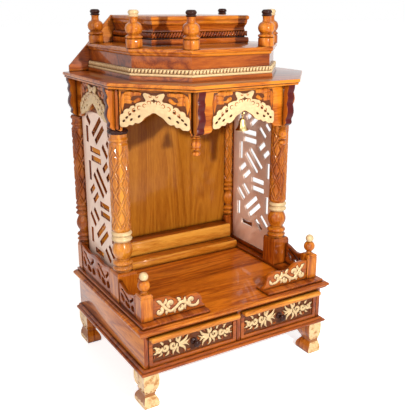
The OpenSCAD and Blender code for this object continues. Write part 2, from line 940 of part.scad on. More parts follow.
module finial() {
    r = finial_d / 2;
    h = finial_h;
    color("black")
        rotate_extrude()
            polygon([
                [0, 0], [r, 0], [r, h * 0.22], [r * 0.78, h * 0.25], [r * 0.95, h * 0.29], [r * 0.95, h * 0.33],
                [r * 0.7, h * 0.37], [r * 0.95, h * 0.45], [r, h * 0.52], [r * 0.9, h * 0.62],
                [r * 0.55, h * 0.72], [r * 0.42, h * 0.78], [r * 0.5, h * 0.83], [r * 0.62, h * 0.90],
                [r * 0.55, h * 0.96], [r * 0.2, h], [0, h],
            ]);
}

// Finials stand on the corners of the lower tier's cap
module finials() {
    inset = tier_inset + finial_d / 2 - 2;
    side = side_corner(inset);
    front = front_corner(inset);
    at_back() {
        translate([side[0], -roof_back_t - finial_d / 2 - finial_gap, cap_top])
            finial();
        translate([side[0], -side[1], cap_top])
            finial();
        translate([front[0], -front[1], cap_top])
            finial();
    }
}
module finials_right() finials();
module finials_left() mirror([1, 0, 0]) finials();

// Bell

// A wire ring around the X axis, or around the Y axis when turned
module wire_ring() {
    rotate([0, 90, 0])
        rotate_extrude()
            translate([ring_r, 0])
                circle(d = ring_wire, $fn = 32);
}

module bell_hook() {
    color("gold")
        translate([0, back_y - bell_f, 0]) {
            translate([0, 0, eye_z])
                rotate([0, 0, 90])
                    wire_ring();
            translate([0, 0, eye_z + ring_r])
                cylinder(d = ring_wire * 0.8, h = hook_stem);
        }
}

module bell() {
    r = bell_d / 2;
    w = bell_wall;
    h = bell_h;
    color("gold")
        translate([0, back_y - bell_f, 0]) {
            translate([0, 0, loop_z])
                wire_ring();
            translate([0, 0, bell_top - 1])
                cylinder(d = ring_wire * 2, h = crown_stem + 1 + ring_wire / 4);
            translate([0, 0, bell_top - h])
                rotate_extrude()
                    polygon([
                        [r, 0], [r, 1.5], [r * 0.80, h * 0.16], [r * 0.60, h * 0.45], [r * 0.50, h * 0.75],
                        [r * 0.40, h * 0.92], [r * 0.16, h], [0, h],
                        [0, h - w], [r * 0.40 - w, h * 0.92 - w * 0.6], [r * 0.50 - w, h * 0.75],
                        [r * 0.60 - w, h * 0.45], [r * 0.80 - w, h * 0.16], [r - w, 0],
                    ]);
        }
}

foot_front_left();
foot_front_right();
foot_rear_left();
foot_rear_right();
base_plate();
case_left();
case_right();
case_back();
case_divider();
deck_moulding();
deck_board();
rim_left();
rim_right();
drawer_left_box();
drawer_left_front();
drawer_left_knob();
drawer_right_box();
drawer_right_front();
drawer_right_knob();
newel_left();
newel_right();
front_panel_left();
front_panel_right();
side_rails_left();
side_rails_right();
column_front_left();
column_front_right();
column_rear_left();
column_rear_right();
lattice_left();
lattice_right();
lattice_frames();
back_panel();
step_lower();
step_upper();
roof_slab();
corner_posts();
drop_left();
drop_right();
brackets();
frieze_side_left();
frieze_side_right();
frieze_chamfer_left();
frieze_chamfer_right();
frieze_front();
gilt_arches();
tier_lower();
tier_beading();
tier_cap();
crown_box();
crown_rope();
crown_cap();
roof_back();
finials_left();
finials_right();
bell_hook();
bell();
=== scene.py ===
# %% [markdown]
# # A carved home temple
# The part is a wooden home temple: a canopy on turned columns over a deck with two drawers. Its solids
# come packed as a frame. This script dresses each solid with the piece that the real temple shows there,
# carved, turned, moulded and varnished, and leaves the joints as they are.

# %% Load the frame
import math
import random

import bpy
from mathutils import Matrix, Vector


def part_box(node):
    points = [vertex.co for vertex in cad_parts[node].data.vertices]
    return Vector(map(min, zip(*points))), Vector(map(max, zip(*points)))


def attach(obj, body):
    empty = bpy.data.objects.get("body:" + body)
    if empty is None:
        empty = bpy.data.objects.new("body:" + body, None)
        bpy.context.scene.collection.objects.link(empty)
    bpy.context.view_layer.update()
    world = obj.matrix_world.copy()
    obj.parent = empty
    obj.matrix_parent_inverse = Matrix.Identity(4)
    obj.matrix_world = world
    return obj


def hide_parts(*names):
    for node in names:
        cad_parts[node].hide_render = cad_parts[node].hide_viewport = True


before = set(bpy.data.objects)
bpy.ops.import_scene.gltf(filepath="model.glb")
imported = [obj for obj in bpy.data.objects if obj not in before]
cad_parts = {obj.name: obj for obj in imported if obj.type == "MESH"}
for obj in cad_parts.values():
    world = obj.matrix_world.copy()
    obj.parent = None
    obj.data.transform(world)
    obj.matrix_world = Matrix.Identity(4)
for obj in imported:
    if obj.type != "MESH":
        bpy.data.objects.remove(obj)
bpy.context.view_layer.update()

# %% [markdown]
# ## Where things are
# Sizes are read from the solids where they can be, so that a piece stays on the solid it stands for. The
# plan is easiest in two numbers: x from the middle, and f as the distance in front of the back face.

# %% Places
MM = 0.001


def low(node):
    """Lowest corner of a solid."""
    return Vector(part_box(node)[0])


def high(node):
    """Highest corner of a solid."""
    return Vector(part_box(node)[1])


BACK = high("back_panel").y
DECK_TOP = high("deck_board").z
RIM_TOP = high("rim_left").z
CAPITAL = high("column_front_left").z
SLAB_BOTTOM = low("roof_slab").z
SLAB_TOP = high("roof_slab").z
COLUMN_X = (low("column_front_right").x + high("column_front_right").x) / 2
COLUMN_F = BACK - (low("column_front_right").y + high("column_front_right").y) / 2
print("deck top", DECK_TOP, "capitals", CAPITAL, "columns at", COLUMN_X, COLUMN_F)


def at(x, f, z):
    """A point from x, the distance f in front of the back face, and a height."""
    return Vector((x, BACK - f, z))


# %% [markdown]
# ## Camera
# The photo looks down at the temple from its front left. The place and the lens were worked out from the
# directions of its edges, and the lens is given for a frame that is 412 pixels high and 405 wide.

# %% Camera
FRAME_HEIGHT_PX = 412
FOCAL_PX = 638.94
SENSOR = 36.0
camera = bpy.data.objects.new("camera", bpy.data.cameras.new("camera"))
bpy.context.scene.collection.objects.link(camera)
camera.location = (-0.8918, -1.5032, 0.9981)
camera.rotation_euler = (math.radians(90 - 17.49), 0, math.radians(-30.97))
camera.data.sensor_fit = "VERTICAL"
camera.data.sensor_height = SENSOR
camera.data.lens = FOCAL_PX / FRAME_HEIGHT_PX * SENSOR
bpy.context.scene.camera = camera

# %% [markdown]
# ## Selection and modes
# Operators work on what is selected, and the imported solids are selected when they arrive. Each new piece
# therefore begins with nothing selected, and each step in edit mode selects what it needs in code.

# %% Selecting


def nothing_selected():
    """Object mode, with no object selected."""
    if bpy.context.object and bpy.context.object.mode != "OBJECT":
        bpy.ops.object.mode_set(mode="OBJECT")
    bpy.ops.object.select_all(action="DESELECT")


def take(piece):
    """Makes one piece the selected and active one."""
    nothing_selected()
    piece.select_set(True)
    bpy.context.view_layer.objects.active = piece


def pick_faces(piece, test):
    """Selects the faces of a piece that pass a test, in edit mode."""
    take(piece)
    bpy.ops.object.mode_set(mode="EDIT")
    bpy.ops.mesh.select_mode(type="FACE")
    bpy.ops.mesh.select_all(action="DESELECT")
    bpy.ops.object.mode_set(mode="OBJECT")
    for face in piece.data.polygons:
        face.select = test(face)
    bpy.ops.object.mode_set(mode="EDIT")


def outward(piece):
    """Merges doubles and turns all faces outwards."""
    take(piece)
    bpy.ops.object.mode_set(mode="EDIT")
    bpy.ops.mesh.select_all(action="SELECT")
    bpy.ops.mesh.remove_doubles(threshold=0.00001)
    bpy.ops.mesh.normals_make_consistent(inside=False)
    bpy.ops.object.mode_set(mode="OBJECT")


def soften(piece, width, segments=2, angle=30):
    """Rounds the sharp edges of a piece with a bevel, and shades it smooth between them."""
    take(piece)
    bevel = piece.modifiers.new("softened edges", "BEVEL")
    bevel.width = width
    bevel.segments = segments
    bevel.limit_method = "ANGLE"
    bevel.angle_limit = math.radians(angle)
    bpy.ops.object.modifier_apply(modifier=bevel.name)
    bpy.ops.object.shade_smooth_by_angle(angle=math.radians(angle))


def smooth(piece, angle=35):
    """Smooth shading up to an angle."""
    take(piece)
    bpy.ops.object.shade_smooth_by_angle(angle=math.radians(angle))


def move_into_place(piece, matrix):
    """Moves the mesh itself, so that the object stays at the origin."""
    piece.data.transform(matrix)
    piece.data.update()


def join(pieces, name):
    """Joins pieces into one."""
    nothing_selected()
    for piece in pieces:
        piece.select_set(True)
    bpy.context.view_layer.objects.active = pieces[0]
    if len(pieces) > 1:
        bpy.ops.object.join()
    pieces[0].name = name
    return pieces[0]


def mirrored(piece, name):
    """A copy of a piece for the other side, with its own mesh, turned the right way out."""
    take(piece)
    bpy.ops.object.duplicate()
    copy = bpy.context.object
    copy.name = name
    move_into_place(copy, Matrix.Scale(-1, 4, (1, 0, 0)))
    bpy.ops.object.mode_set(mode="EDIT")
    bpy.ops.mesh.select_all(action="SELECT")
    bpy.ops.mesh.flip_normals()
    bpy.ops.object.mode_set(mode="OBJECT")
    return copy


# %% [markdown]
# ## Boards
# A board is a cube brought to size. Sawn and planed edges are never sharp, so every board gets a small
# bevel, which also catches the light as varnish does.

# %% Boards


def board(name, lowest, highest, edge=0.0015, segments=2):
    """A board between two corners, with rounded edges."""
    nothing_selected()
    lowest, highest = Vector(lowest), Vector(highest)
    bpy.ops.mesh.primitive_cube_add(size=1, location=(lowest + highest) / 2)
    piece = bpy.context.object
    piece.name = name
    piece.scale = highest - lowest
    bpy.ops.object.transform_apply(location=True, rotation=True, scale=True)
    soften(piece, edge, segments)
    return piece


def plan_board(name, x0, x1, f0, f1, z0, z1, edge=0.0015, segments=2):
    """A board from x, f and z limits."""
    return board(name, (x0, BACK - f1, z0), (x1, BACK - f0, z1), edge, segments)


# %% [markdown]
# ## Mouldings
# A moulding is an outline that grows and shrinks as it rises. A flat face is extruded once for each level,
# and its corners are moved to that level's outline, as one would pull them by hand.

# %% Mouldings


def moulding(name, levels, angle=30):
    """A solid from a list of outlines, each a list of points with the same count."""
    nothing_selected()
    bpy.ops.mesh.primitive_circle_add(vertices=len(levels[0]), radius=1, fill_type="NGON")
    piece = bpy.context.object
    piece.name = name
    for vertex, point in zip(piece.data.vertices, levels[0]):
        vertex.co = point
    bpy.ops.object.mode_set(mode="EDIT")
    bpy.ops.mesh.select_all(action="SELECT")
    for before, after in zip(levels, levels[1:]):
        bpy.ops.mesh.extrude_region_move(TRANSFORM_OT_translate={"value": (0, 0, 0)})
        bpy.ops.object.mode_set(mode="OBJECT")
        for vertex in piece.data.vertices:
            if vertex.select:
                nearest = min(range(len(before)), key=lambda i: (vertex.co - before[i]).length_squared)
                vertex.co = after[nearest]
        bpy.ops.object.mode_set(mode="EDIT")
    bpy.ops.object.mode_set(mode="OBJECT")
    outward(piece)
    smooth(piece, angle)
    return piece


def deck_outline(half, depth, z):
    """A rectangle against the back face."""
    return [at(-half, 0, z), at(-half, depth, z), at(half, depth, z), at(half, 0, z)]


def block_levels(half, depth, steps):
    """Outlines of a rectangular moulding: steps hold a height and how far it stands in."""
    return [deck_outline(half - inset, depth - inset, z) for z, inset in steps]


def rounded(z0, z1, out, inset, steps=5):
    """Heights and insets of a half round edge that stands out by out from an inset."""
    result = []
    for k in range(steps + 1):
        turn = math.pi * k / steps
        result.append((z0 + (z1 - z0) * (1 - math.cos(turn)) / 2, inset - out * math.sin(turn)))
    return result


def hollow(z0, z1, start, end, steps=5, inward=True):
    """Heights and insets of a quarter cove or quarter round from one inset to another."""
    result = []
    for k in range(steps + 1):
        turn = math.pi / 2 * k / steps
        share = 1 - math.cos(turn) if inward else math.sin(turn)
        rise = math.sin(turn) if inward else 1 - math.cos(turn)
        result.append((z0 + (z1 - z0) * rise, start + (end - start) * share))
    return result


# %% [markdown]
# ## Turned pieces
# Columns, drops, finials, knobs and the bell come off a lathe. One point is extruded along the profile and
# then spun round the axis, exactly as a turner sweeps the chisel along the blank.

# %% Turning


def turned(name, profile, centre, steps=48, angle=35, sweep=360):
    """A turned piece from (radius, height) pairs, standing at centre."""
    nothing_selected()
    centre = Vector(centre)
    bpy.ops.mesh.primitive_plane_add(size=0.01)
    piece = bpy.context.object
    piece.name = name
    bpy.ops.object.mode_set(mode="EDIT")
    bpy.ops.mesh.select_all(action="SELECT")
    bpy.ops.mesh.merge(type="CENTER")
    bpy.ops.object.mode_set(mode="OBJECT")
    piece.data.vertices[0].co = centre + Vector((profile[0][0], 0, profile[0][1]))
    bpy.ops.object.mode_set(mode="EDIT")
    bpy.ops.mesh.select_all(action="SELECT")
    for (r0, z0), (r1, z1) in zip(profile, profile[1:]):
        bpy.ops.mesh.extrude_vertices_move(TRANSFORM_OT_translate={"value": (r1 - r0, 0, z1 - z0)})
    bpy.ops.mesh.select_all(action="SELECT")
    bpy.ops.mesh.spin(steps=steps, angle=math.radians(sweep), center=centre, axis=(0, 0, 1))
    bpy.ops.object.mode_set(mode="OBJECT")
    outward(piece)
    smooth(piece, angle)
    return piece


def swell(r0, z0, r1, z1, middle, steps=8):
    """Profile points from (r0, z0) to (r1, z1) that swell to a middle radius."""
    points = []
    for k in range(steps + 1):
        t = k / steps
        straight = r0 + (r1 - r0) * t
        points.append((straight + (middle - (r0 + r1) / 2) * math.sin(math.pi * t), z0 + (z1 - z0) * t))
    return points


# %% [markdown]
# ## Sawn boards and carvings
# A fretwork board is a flat outline with holes, given a thickness and a small round edge. A carved scroll
# is a rope of varying thickness laid on the board, thick in its belly and thin at its tips.

# %% Fretwork and scrolls


def add_loop(curve, points, curved=True):
    """One closed outline, curved through its points or with straight sides."""
    if curved:
        spline = curve.splines.new("BEZIER")
        spline.bezier_points.add(len(points) - 1)
        for knot, point in zip(spline.bezier_points, points):
            knot.co = (point[0], point[1], 0)
            knot.handle_left_type = knot.handle_right_type = "AUTO"
    else:
        spline = curve.splines.new("POLY")
        spline.points.add(len(points) - 1)
        for knot, point in zip(spline.points, points):
            knot.co = (point[0], point[1], 0, 1)
    spline.use_cyclic_u = True
    spline.resolution_u = 4


def fretwork(name, loops, thickness, edge, straight_loops=()):
    """A board sawn to curved and straight outlines, in the X-Y plane, its back face at zero height."""
    nothing_selected()
    curve = bpy.data.curves.new(name, "CURVE")
    curve.dimensions = "2D"
    curve.fill_mode = "BOTH"
    for points in loops:
        add_loop(curve, points, True)
    for points in straight_loops:
        add_loop(curve, points, False)
    curve.extrude = thickness / 2 - edge
    curve.bevel_depth = edge
    curve.bevel_resolution = 1
    curve.offset = -edge
    piece = bpy.data.objects.new(name, curve)
    bpy.context.scene.collection.objects.link(piece)
    take(piece)
    bpy.ops.object.convert(target="MESH")
    piece = bpy.context.object
    move_into_place(piece, Matrix.Translation((0, 0, thickness / 2)))
    outward(piece)
    smooth(piece, 40)
    return piece


def scrolls(name, strokes, flat=0.6, sides=2):
    """Carved strokes in the X-Y plane: each is a list of (x, y, half width), raised by flat times that."""
    nothing_selected()
    curve = bpy.data.curves.new(name, "CURVE")
    curve.dimensions = "3D"
    curve.bevel_depth = 1.0
    curve.bevel_resolution = sides
    curve.use_fill_caps = True
    for stroke in strokes:
        spline = curve.splines.new("NURBS")
        spline.points.add(len(stroke) - 1)
        for knot, (x, y, width) in zip(spline.points, stroke):
            knot.co = (x, y, 0, 1)
            knot.radius = width
        spline.use_endpoint_u = True
        spline.order_u = 3
        spline.resolution_u = 3
    piece = bpy.data.objects.new(name, curve)
    bpy.context.scene.collection.objects.link(piece)
    take(piece)
    bpy.ops.object.convert(target="MESH")
    piece = bpy.context.object
    move_into_place(piece, Matrix.Diagonal((1, 1, flat, 1)))
    outward(piece)
    smooth(piece, 60)
    return piece


def curl(x, y, radius, start, turns, width, steps=9, shrink=0.25, hand=1):
    """A spiral stroke that winds inwards round (x, y) from an angle in degrees."""
    stroke = []
    for k in range(steps + 1):
        t = k / steps
        r = radius * (1 - (1 - shrink) * t)
        a = math.radians(start + hand * 360 * turns * t)
        stroke.append((x + r * math.cos(a), y + r * math.sin(a), width * (0.5 + 0.8 * math.sin(math.pi * min(1, t + 0.15)))))
    return stroke


def leaf(x0, y0, x1, y1, width, bend=0.0, steps=5):
    """A pointed leaf from its root to its tip."""
    stroke = []
    dx, dy = x1 - x0, y1 - y0
    for k in range(steps + 1):
        t = k / steps
        side = bend * math.sin(math.pi * t)
        belly = math.sin(math.pi * min(1.0, 0.12 + 0.88 * t) ** 0.8)
        stroke.append((x0 + dx * t - dy * side, y0 + dy * t + dx * side, width * max(0.08, belly)))
    return stroke


def upright(x, f, z, turn=0):
    """Stands a flat piece up: its X runs along the wall, its Y up, and its Z out of the wall."""
    return Matrix.Translation(at(x, f, z)) @ Matrix.Rotation(math.radians(turn), 4, "Z") @ Matrix.Rotation(
        math.radians(90), 4, "X")

# %% [markdown]
# ## Varnished wood
# The temple is teak-like wood under glossy varnish. Wood is drawn by two noises stretched along the grain:
# the lines of equal height of a slow one give the rings, and a fast one gives the fibres. One node group
# makes both masks, and each material chooses its colours and the direction of its grain.

# %% Wood grain


def add_node(tree, kind, **values):
    """A shader node with some of its inputs or properties set."""
    new = tree.nodes.new(kind)
    for key, value in values.items():
        if key in new.inputs:
            new.inputs[key].default_value = value
        else:
            setattr(new, key, value)
    return new


def make_grain_group():
    """Masks of wood: Figure from dark to light rings, Fibre from fine streaks."""
    group = bpy.data.node_groups.new("wood grain", "ShaderNodeTree")
    group.interface.new_socket("Vector", in_out="INPUT", socket_type="NodeSocketVector")
    group.interface.new_socket("Figure", in_out="OUTPUT", socket_type="NodeSocketFloat")
    group.interface.new_socket("Fibre", in_out="OUTPUT", socket_type="NodeSocketFloat")
    links = group.links
    entry = group.nodes.new("NodeGroupInput")
    leave = group.nodes.new("NodeGroupOutput")
    slow = add_node(group, "ShaderNodeTexNoise", Scale=13.0, Detail=2.5, Roughness=0.5, Distortion=1.1)
    rings = add_node(group, "ShaderNodeMath", operation="MULTIPLY")
    rings.inputs[1].default_value = 11.0
    fold = add_node(group, "ShaderNodeMath", operation="PINGPONG")
    fold.inputs[1].default_value = 1.0
    patch = add_node(group, "ShaderNodeTexNoise", Scale=9.0, Detail=2.0, Roughness=0.5)
    blend_rings = add_node(group, "ShaderNodeMath", operation="MULTIPLY_ADD")
    blend_rings.inputs[1].default_value = 0.45
    fast = add_node(group, "ShaderNodeTexNoise", Scale=330.0, Detail=4.0, Roughness=0.65, Distortion=0.2)
    spread = add_node(group, "ShaderNodeMapRange")
    spread.inputs["From Min"].default_value = 0.3
    spread.inputs["From Max"].default_value = 0.7
    links.new(entry.outputs["Vector"], slow.inputs["Vector"])
    links.new(entry.outputs["Vector"], fast.inputs["Vector"])
    links.new(entry.outputs["Vector"], patch.inputs["Vector"])
    links.new(slow.outputs["Fac"], rings.inputs[0])
    links.new(rings.outputs[0], fold.inputs[0])
    links.new(fold.outputs[0], blend_rings.inputs[0])
    links.new(patch.outputs["Fac"], blend_rings.inputs[2])
    links.new(blend_rings.outputs[0], leave.inputs["Figure"])
    links.new(fast.outputs["Fac"], spread.inputs["Value"])
    links.new(spread.outputs["Result"], leave.inputs["Fibre"])
    return group


GRAIN = make_grain_group()
ALONG = 0.11
GRAIN_SCALES = {"x": (ALONG, 1, 1), "y": (1, ALONG, 1), "z": (1, 1, ALONG)}


def new_material(name):
    """An empty node material and its shader."""
    material = bpy.data.materials.new(name)
    material.use_nodes = True
    shader = material.node_tree.nodes["Principled BSDF"]
    return material, material.node_tree, shader


def varnished(name, grain, dark, middle, light, roughness=0.3, coat=0.6, coat_roughness=0.05):
    """Varnished wood with its grain along x, y or z, darkened in its creases, grooves and joints as painted shade."""
    material, tree, shader = new_material(name)
    links = tree.links
    place = tree.nodes.new("ShaderNodeTexCoord")
    stretch = add_node(tree, "ShaderNodeMapping")
    stretch.inputs["Scale"].default_value = GRAIN_SCALES[grain]
    stretch.inputs["Location"].default_value = (0.31 * len(name), 0.17, 0.43)
    wood = tree.nodes.new("ShaderNodeGroup")
    wood.node_tree = GRAIN
    weigh = add_node(tree, "ShaderNodeMath", operation="MULTIPLY_ADD")
    weigh.inputs[1].default_value = 0.3
    scale = add_node(tree, "ShaderNodeMath", operation="MULTIPLY")
    scale.inputs[1].default_value = 0.72
    ramp = tree.nodes.new("ShaderNodeValToRGB")
    ramp.color_ramp.elements[0].position = 0.22
    ramp.color_ramp.elements[0].color = (*dark, 1)
    ramp.color_ramp.elements[1].position = 0.86
    ramp.color_ramp.elements[1].color = (*light, 1)
    centre = ramp.color_ramp.elements.new(0.52)
    centre.color = (*middle, 1)
    bump = add_node(tree, "ShaderNodeBump", Strength=0.12, Distance=0.0006)
    links.new(place.outputs["Object"], stretch.inputs["Vector"])
    links.new(stretch.outputs["Vector"], wood.inputs["Vector"])
    links.new(wood.outputs["Figure"], scale.inputs[0])
    links.new(wood.outputs["Fibre"], weigh.inputs[0])
    links.new(scale.outputs[0], weigh.inputs[2])
    links.new(weigh.outputs[0], ramp.inputs["Fac"])
    # Painted shade: an occlusion test darkens the wood towards a deeper brown in creases, grooves, joints and recesses.
    hollows = add_node(tree, "ShaderNodeAmbientOcclusion", Distance=0.009, samples=5)
    clear = add_node(tree, "ShaderNodeMapRange")
    clear.inputs["From Min"].default_value = 0.3
    clear.inputs["From Max"].default_value = 0.93
    painted_shade_mix = add_node(tree, "ShaderNodeMix", data_type="RGBA")
    painted_shade_mix.inputs[6].default_value = (dark[0] * 0.4, dark[1] * 0.4, dark[2] * 0.4, 1)
    links.new(hollows.outputs["AO"], clear.inputs["Value"])
    links.new(clear.outputs["Result"], painted_shade_mix.inputs[0])
    links.new(ramp.outputs["Color"], painted_shade_mix.inputs[7])
    links.new(painted_shade_mix.outputs[2], shader.inputs["Base Color"])
    links.new(wood.outputs["Fibre"], bump.inputs["Height"])
    links.new(bump.outputs["Normal"], shader.inputs["Normal"])
    shader.inputs["Roughness"].default_value = roughness
    shader.inputs["Specular IOR Level"].default_value = 0.08
    shader.inputs["Coat Weight"].default_value = coat
    shader.inputs["Coat Roughness"].default_value = coat_roughness
    shader.inputs["Coat IOR"].default_value = 1.4
    return material


HONEY = ((0.075, 0.011, 0.001), (0.35, 0.074, 0.004), (0.64, 0.205, 0.014))
CHESTNUT = ((0.035, 0.005, 0.001), (0.205, 0.035, 0.003), (0.42, 0.100, 0.008))
AMBER = ((0.18, 0.040, 0.003), (0.52, 0.160, 0.012), (0.82, 0.37, 0.05))
honey = {g: varnished("honey wood along " + g, g, *HONEY) for g in "xyz"}
chestnut = {g: varnished("chestnut wood along " + g, g, *CHESTNUT) for g in "xyz"}
amber = {g: varnished("amber wood along " + g, g, *AMBER) for g in "xyz"}
# A lighter golden wood, given only to the left front column as painted light.
lit_left_column_wood = varnished("golden column wood", "z", (0.12, 0.025, 0.002), (0.41, 0.112, 0.006), (0.70, 0.27, 0.024),
                        0.28, 1.0, 0.12)
floor_wood = varnished("deck floor along x", "x", (0.05, 0.007, 0.001), (0.34, 0.064, 0.004), (0.66, 0.175, 0.011))
veneer = varnished("veneer along z", "z", (0.20, 0.050, 0.003), (0.36, 0.110, 0.007), (0.49, 0.178, 0.014), 0.35, 0.4, 0.12)
bare_wood = varnished("bare wood", "y", (0.42, 0.22, 0.09), (0.55, 0.33, 0.15), (0.66, 0.44, 0.22), 0.6, 0.0)

# %% [markdown]
# ## Paints and metal
# The carvings are painted a cream gold over brown, and darken to brown towards their hollows, partly the brown ground
# and partly painted shade. The side lattices are lacquered a pale pinkish cream. Finial heads, capitals and brackets
# are a maroon that is nearly black.

# %% Paints and metal


def painted(name, colour, shade, roughness, spot_scale, coat=0.0, hollow_shade_reach=0.0, metallic=0.0, worn=False):
    """Paint with soft blotches; where a reach is given, its hollows darken towards the shade colour, partly as brown
    ground and partly as painted shade.
    """
    material, tree, shader = new_material(name)
    links = tree.links
    place = tree.nodes.new("ShaderNodeTexCoord")
    blotch = add_node(tree, "ShaderNodeTexNoise", Scale=spot_scale, Detail=4.0, Roughness=0.6)
    ramp = tree.nodes.new("ShaderNodeValToRGB")
    ramp.color_ramp.elements[0].position = 0.36 if worn else 0.25
    ramp.color_ramp.elements[0].color = (*shade, 1) if worn else (*[c * 0.8 for c in colour], 1)
    ramp.color_ramp.elements[1].position = 0.52 if worn else 0.65
    ramp.color_ramp.elements[1].color = (*colour, 1)
    bump = add_node(tree, "ShaderNodeBump", Strength=0.3, Distance=0.0002)
    links.new(place.outputs["Object"], blotch.inputs["Vector"])
    links.new(blotch.outputs["Fac"], ramp.inputs["Fac"])
    links.new(blotch.outputs["Fac"], bump.inputs["Height"])
    links.new(bump.outputs["Normal"], shader.inputs["Normal"])
    # Painted shade: an occlusion test darkens the hollows towards the shade colour, which also stands for the brown
    # ground there.
    if hollow_shade_reach:
        hollows = add_node(tree, "ShaderNodeAmbientOcclusion", Distance=hollow_shade_reach, samples=6)
        mix = add_node(tree, "ShaderNodeMix", data_type="RGBA")
        mix.inputs[6].default_value = (*shade, 1)
        clear = add_node(tree, "ShaderNodeMapRange")
        clear.inputs["From Min"].default_value = 0.25
        clear.inputs["From Max"].default_value = 0.75
        links.new(hollows.outputs["AO"], clear.inputs["Value"])
        links.new(clear.outputs["Result"], mix.inputs[0])
        links.new(ramp.outputs["Color"], mix.inputs[7])
        links.new(mix.outputs[2], shader.inputs["Base Color"])
    else:
        links.new(ramp.outputs["Color"], shader.inputs["Base Color"])
    shader.inputs["Roughness"].default_value = roughness
    shader.inputs["Metallic"].default_value = metallic
    shader.inputs["Coat Weight"].default_value = coat
    shader.inputs["Specular IOR Level"].default_value = 0.12
    return material


# The gilt and the worn gilt darken in their hollows: partly brown ground, partly painted shade.
gilt = painted("cream gold paint", (0.71, 0.51, 0.265), (0.22, 0.075, 0.015), 0.36, 90.0, 0.2, 0.005, 0.1)
lattice_paint = painted("pale lattice lacquer", (0.97, 0.75, 0.61), (0.4, 0.2, 0.1), 0.35, 14.0, 0.2)
maroon = painted("dark maroon paint", (0.075, 0.005, 0.004), (0.01, 0.0, 0.0), 0.3, 60.0, 0.15)
black_paint = painted("dark paint", (0.035, 0.009, 0.005), (0.0, 0.0, 0.0), 0.22, 80.0, 0.12)
# The dark brown ground lies behind carvings and in sunk fields: partly a dark ground colour, partly painted shade of
# the recesses.
ground_and_shade_brown = painted("dark brown ground and painted shade", (0.12, 0.034, 0.010), (0.01, 0.0, 0.0), 0.5, 120.0, 0.1)
brass = painted("polished brass", (0.83, 0.62, 0.27), (0.2, 0.1, 0.02), 0.2, 160.0, 0.0, 0.0, 1.0)
worn_gilt_and_shade = painted("worn gilt on brown", (0.78, 0.54, 0.26), (0.45, 0.20, 0.05), 0.3, 60.0, 0.4, 0.009, 0.1, True)
umber = painted("brown of the feet", (0.36, 0.13, 0.03), (0.10, 0.03, 0.01), 0.4, 90.0, 0.3)
# The tan goes into the deepest carved cuts of the feet, partly as brown ground and partly as painted shade.
tan = painted("tan of the carved hollows", (0.62, 0.36, 0.13), (0.20, 0.08, 0.02), 0.4, 90.0, 0.3)
print(len(bpy.data.materials), "materials")

# %% [markdown]
# ## Finishing a piece
# Each finished piece gets its material, rides on the body it moves with, and hides the solids it stands for.

# %% Finishing


def finish(piece, material, nodes, body="temple"):
    """Gives a piece its final name and a single material, puts it on its body, and hides the solids it stands for."""
    piece.name = piece.name.replace(" ", "_")
    if material is not None:
        piece.data.materials.clear()
        piece.data.materials.append(material)
    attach(piece, body)
    for solid in nodes.split():
        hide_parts(solid)
    return piece


def second_finish(piece, material, test):
    """Gives the faces that pass a test another material."""
    piece.data.materials.append(material)
    index = len(piece.data.materials) - 1
    for face in piece.data.polygons:
        if test(face):
            face.material_index = index

# %% [markdown]
# ## Feet
# The temple stands on short curved feet: a knee that bulges, a narrow waist and a toe that spreads again.
# Their two outer faces are carved and gilt, and the inner ones are plain wood. The shape is a stack of
# rectangles with a common corner, and the carving is pressed into a fine grid on the outer faces.

# %% Feet
FOOT_H = high("foot_front_left").z
WAIST_UP = 0.36
FOOT_SHAPE = [
    (0.00, 0.06, 0.92), (0.04, 0.01, 0.97), (0.12, 0.00, 0.98), (0.22, 0.05, 0.92), (0.31, 0.17, 0.81),
    (WAIST_UP, 0.25, 0.74), (0.41, 0.23, 0.76), (0.47, 0.15, 0.84), (0.56, 0.07, 0.93), (0.66, 0.01, 0.99),
    (0.78, 0.00, 1.00), (0.89, 0.01, 0.99), (0.96, 0.04, 0.95), (1.00, 0.07, 0.90),
]


def foot(name, node, front):
    """A foot on the left, its outer corner at the front or at the back."""
    lowest, highest = low(node), high(node)
    width, depth = highest.x - lowest.x, highest.y - lowest.y
    corner = Vector((lowest.x, lowest.y if front else highest.y, 0))
    into = 1 if front else -1
    levels = []
    for height, near, far in FOOT_SHAPE:
        x0, x1 = near * width * 0.5, far * width
        y0, y1 = near * width * 0.5, far * depth
        ring = [(x0, y0), (x1, y0), (x1, y1), (x0, y1)]
        levels.append([corner + Vector((x, into * y, height * FOOT_H)) for x, y in ring])
    piece = moulding(name, levels, 60)
    take(piece)
    bpy.ops.object.mode_set(mode="EDIT")
    bpy.ops.mesh.select_all(action="SELECT")
    bpy.ops.mesh.subdivide(number_cuts=7, smoothness=0)
    bpy.ops.object.mode_set(mode="OBJECT")
    hollow_points = {vertex.index for vertex in piece.data.vertices
                     if carve_foot(vertex, corner, into, width, depth) > 2.2 * MM}
    smooth(piece, 50)
    return piece, hollow_points


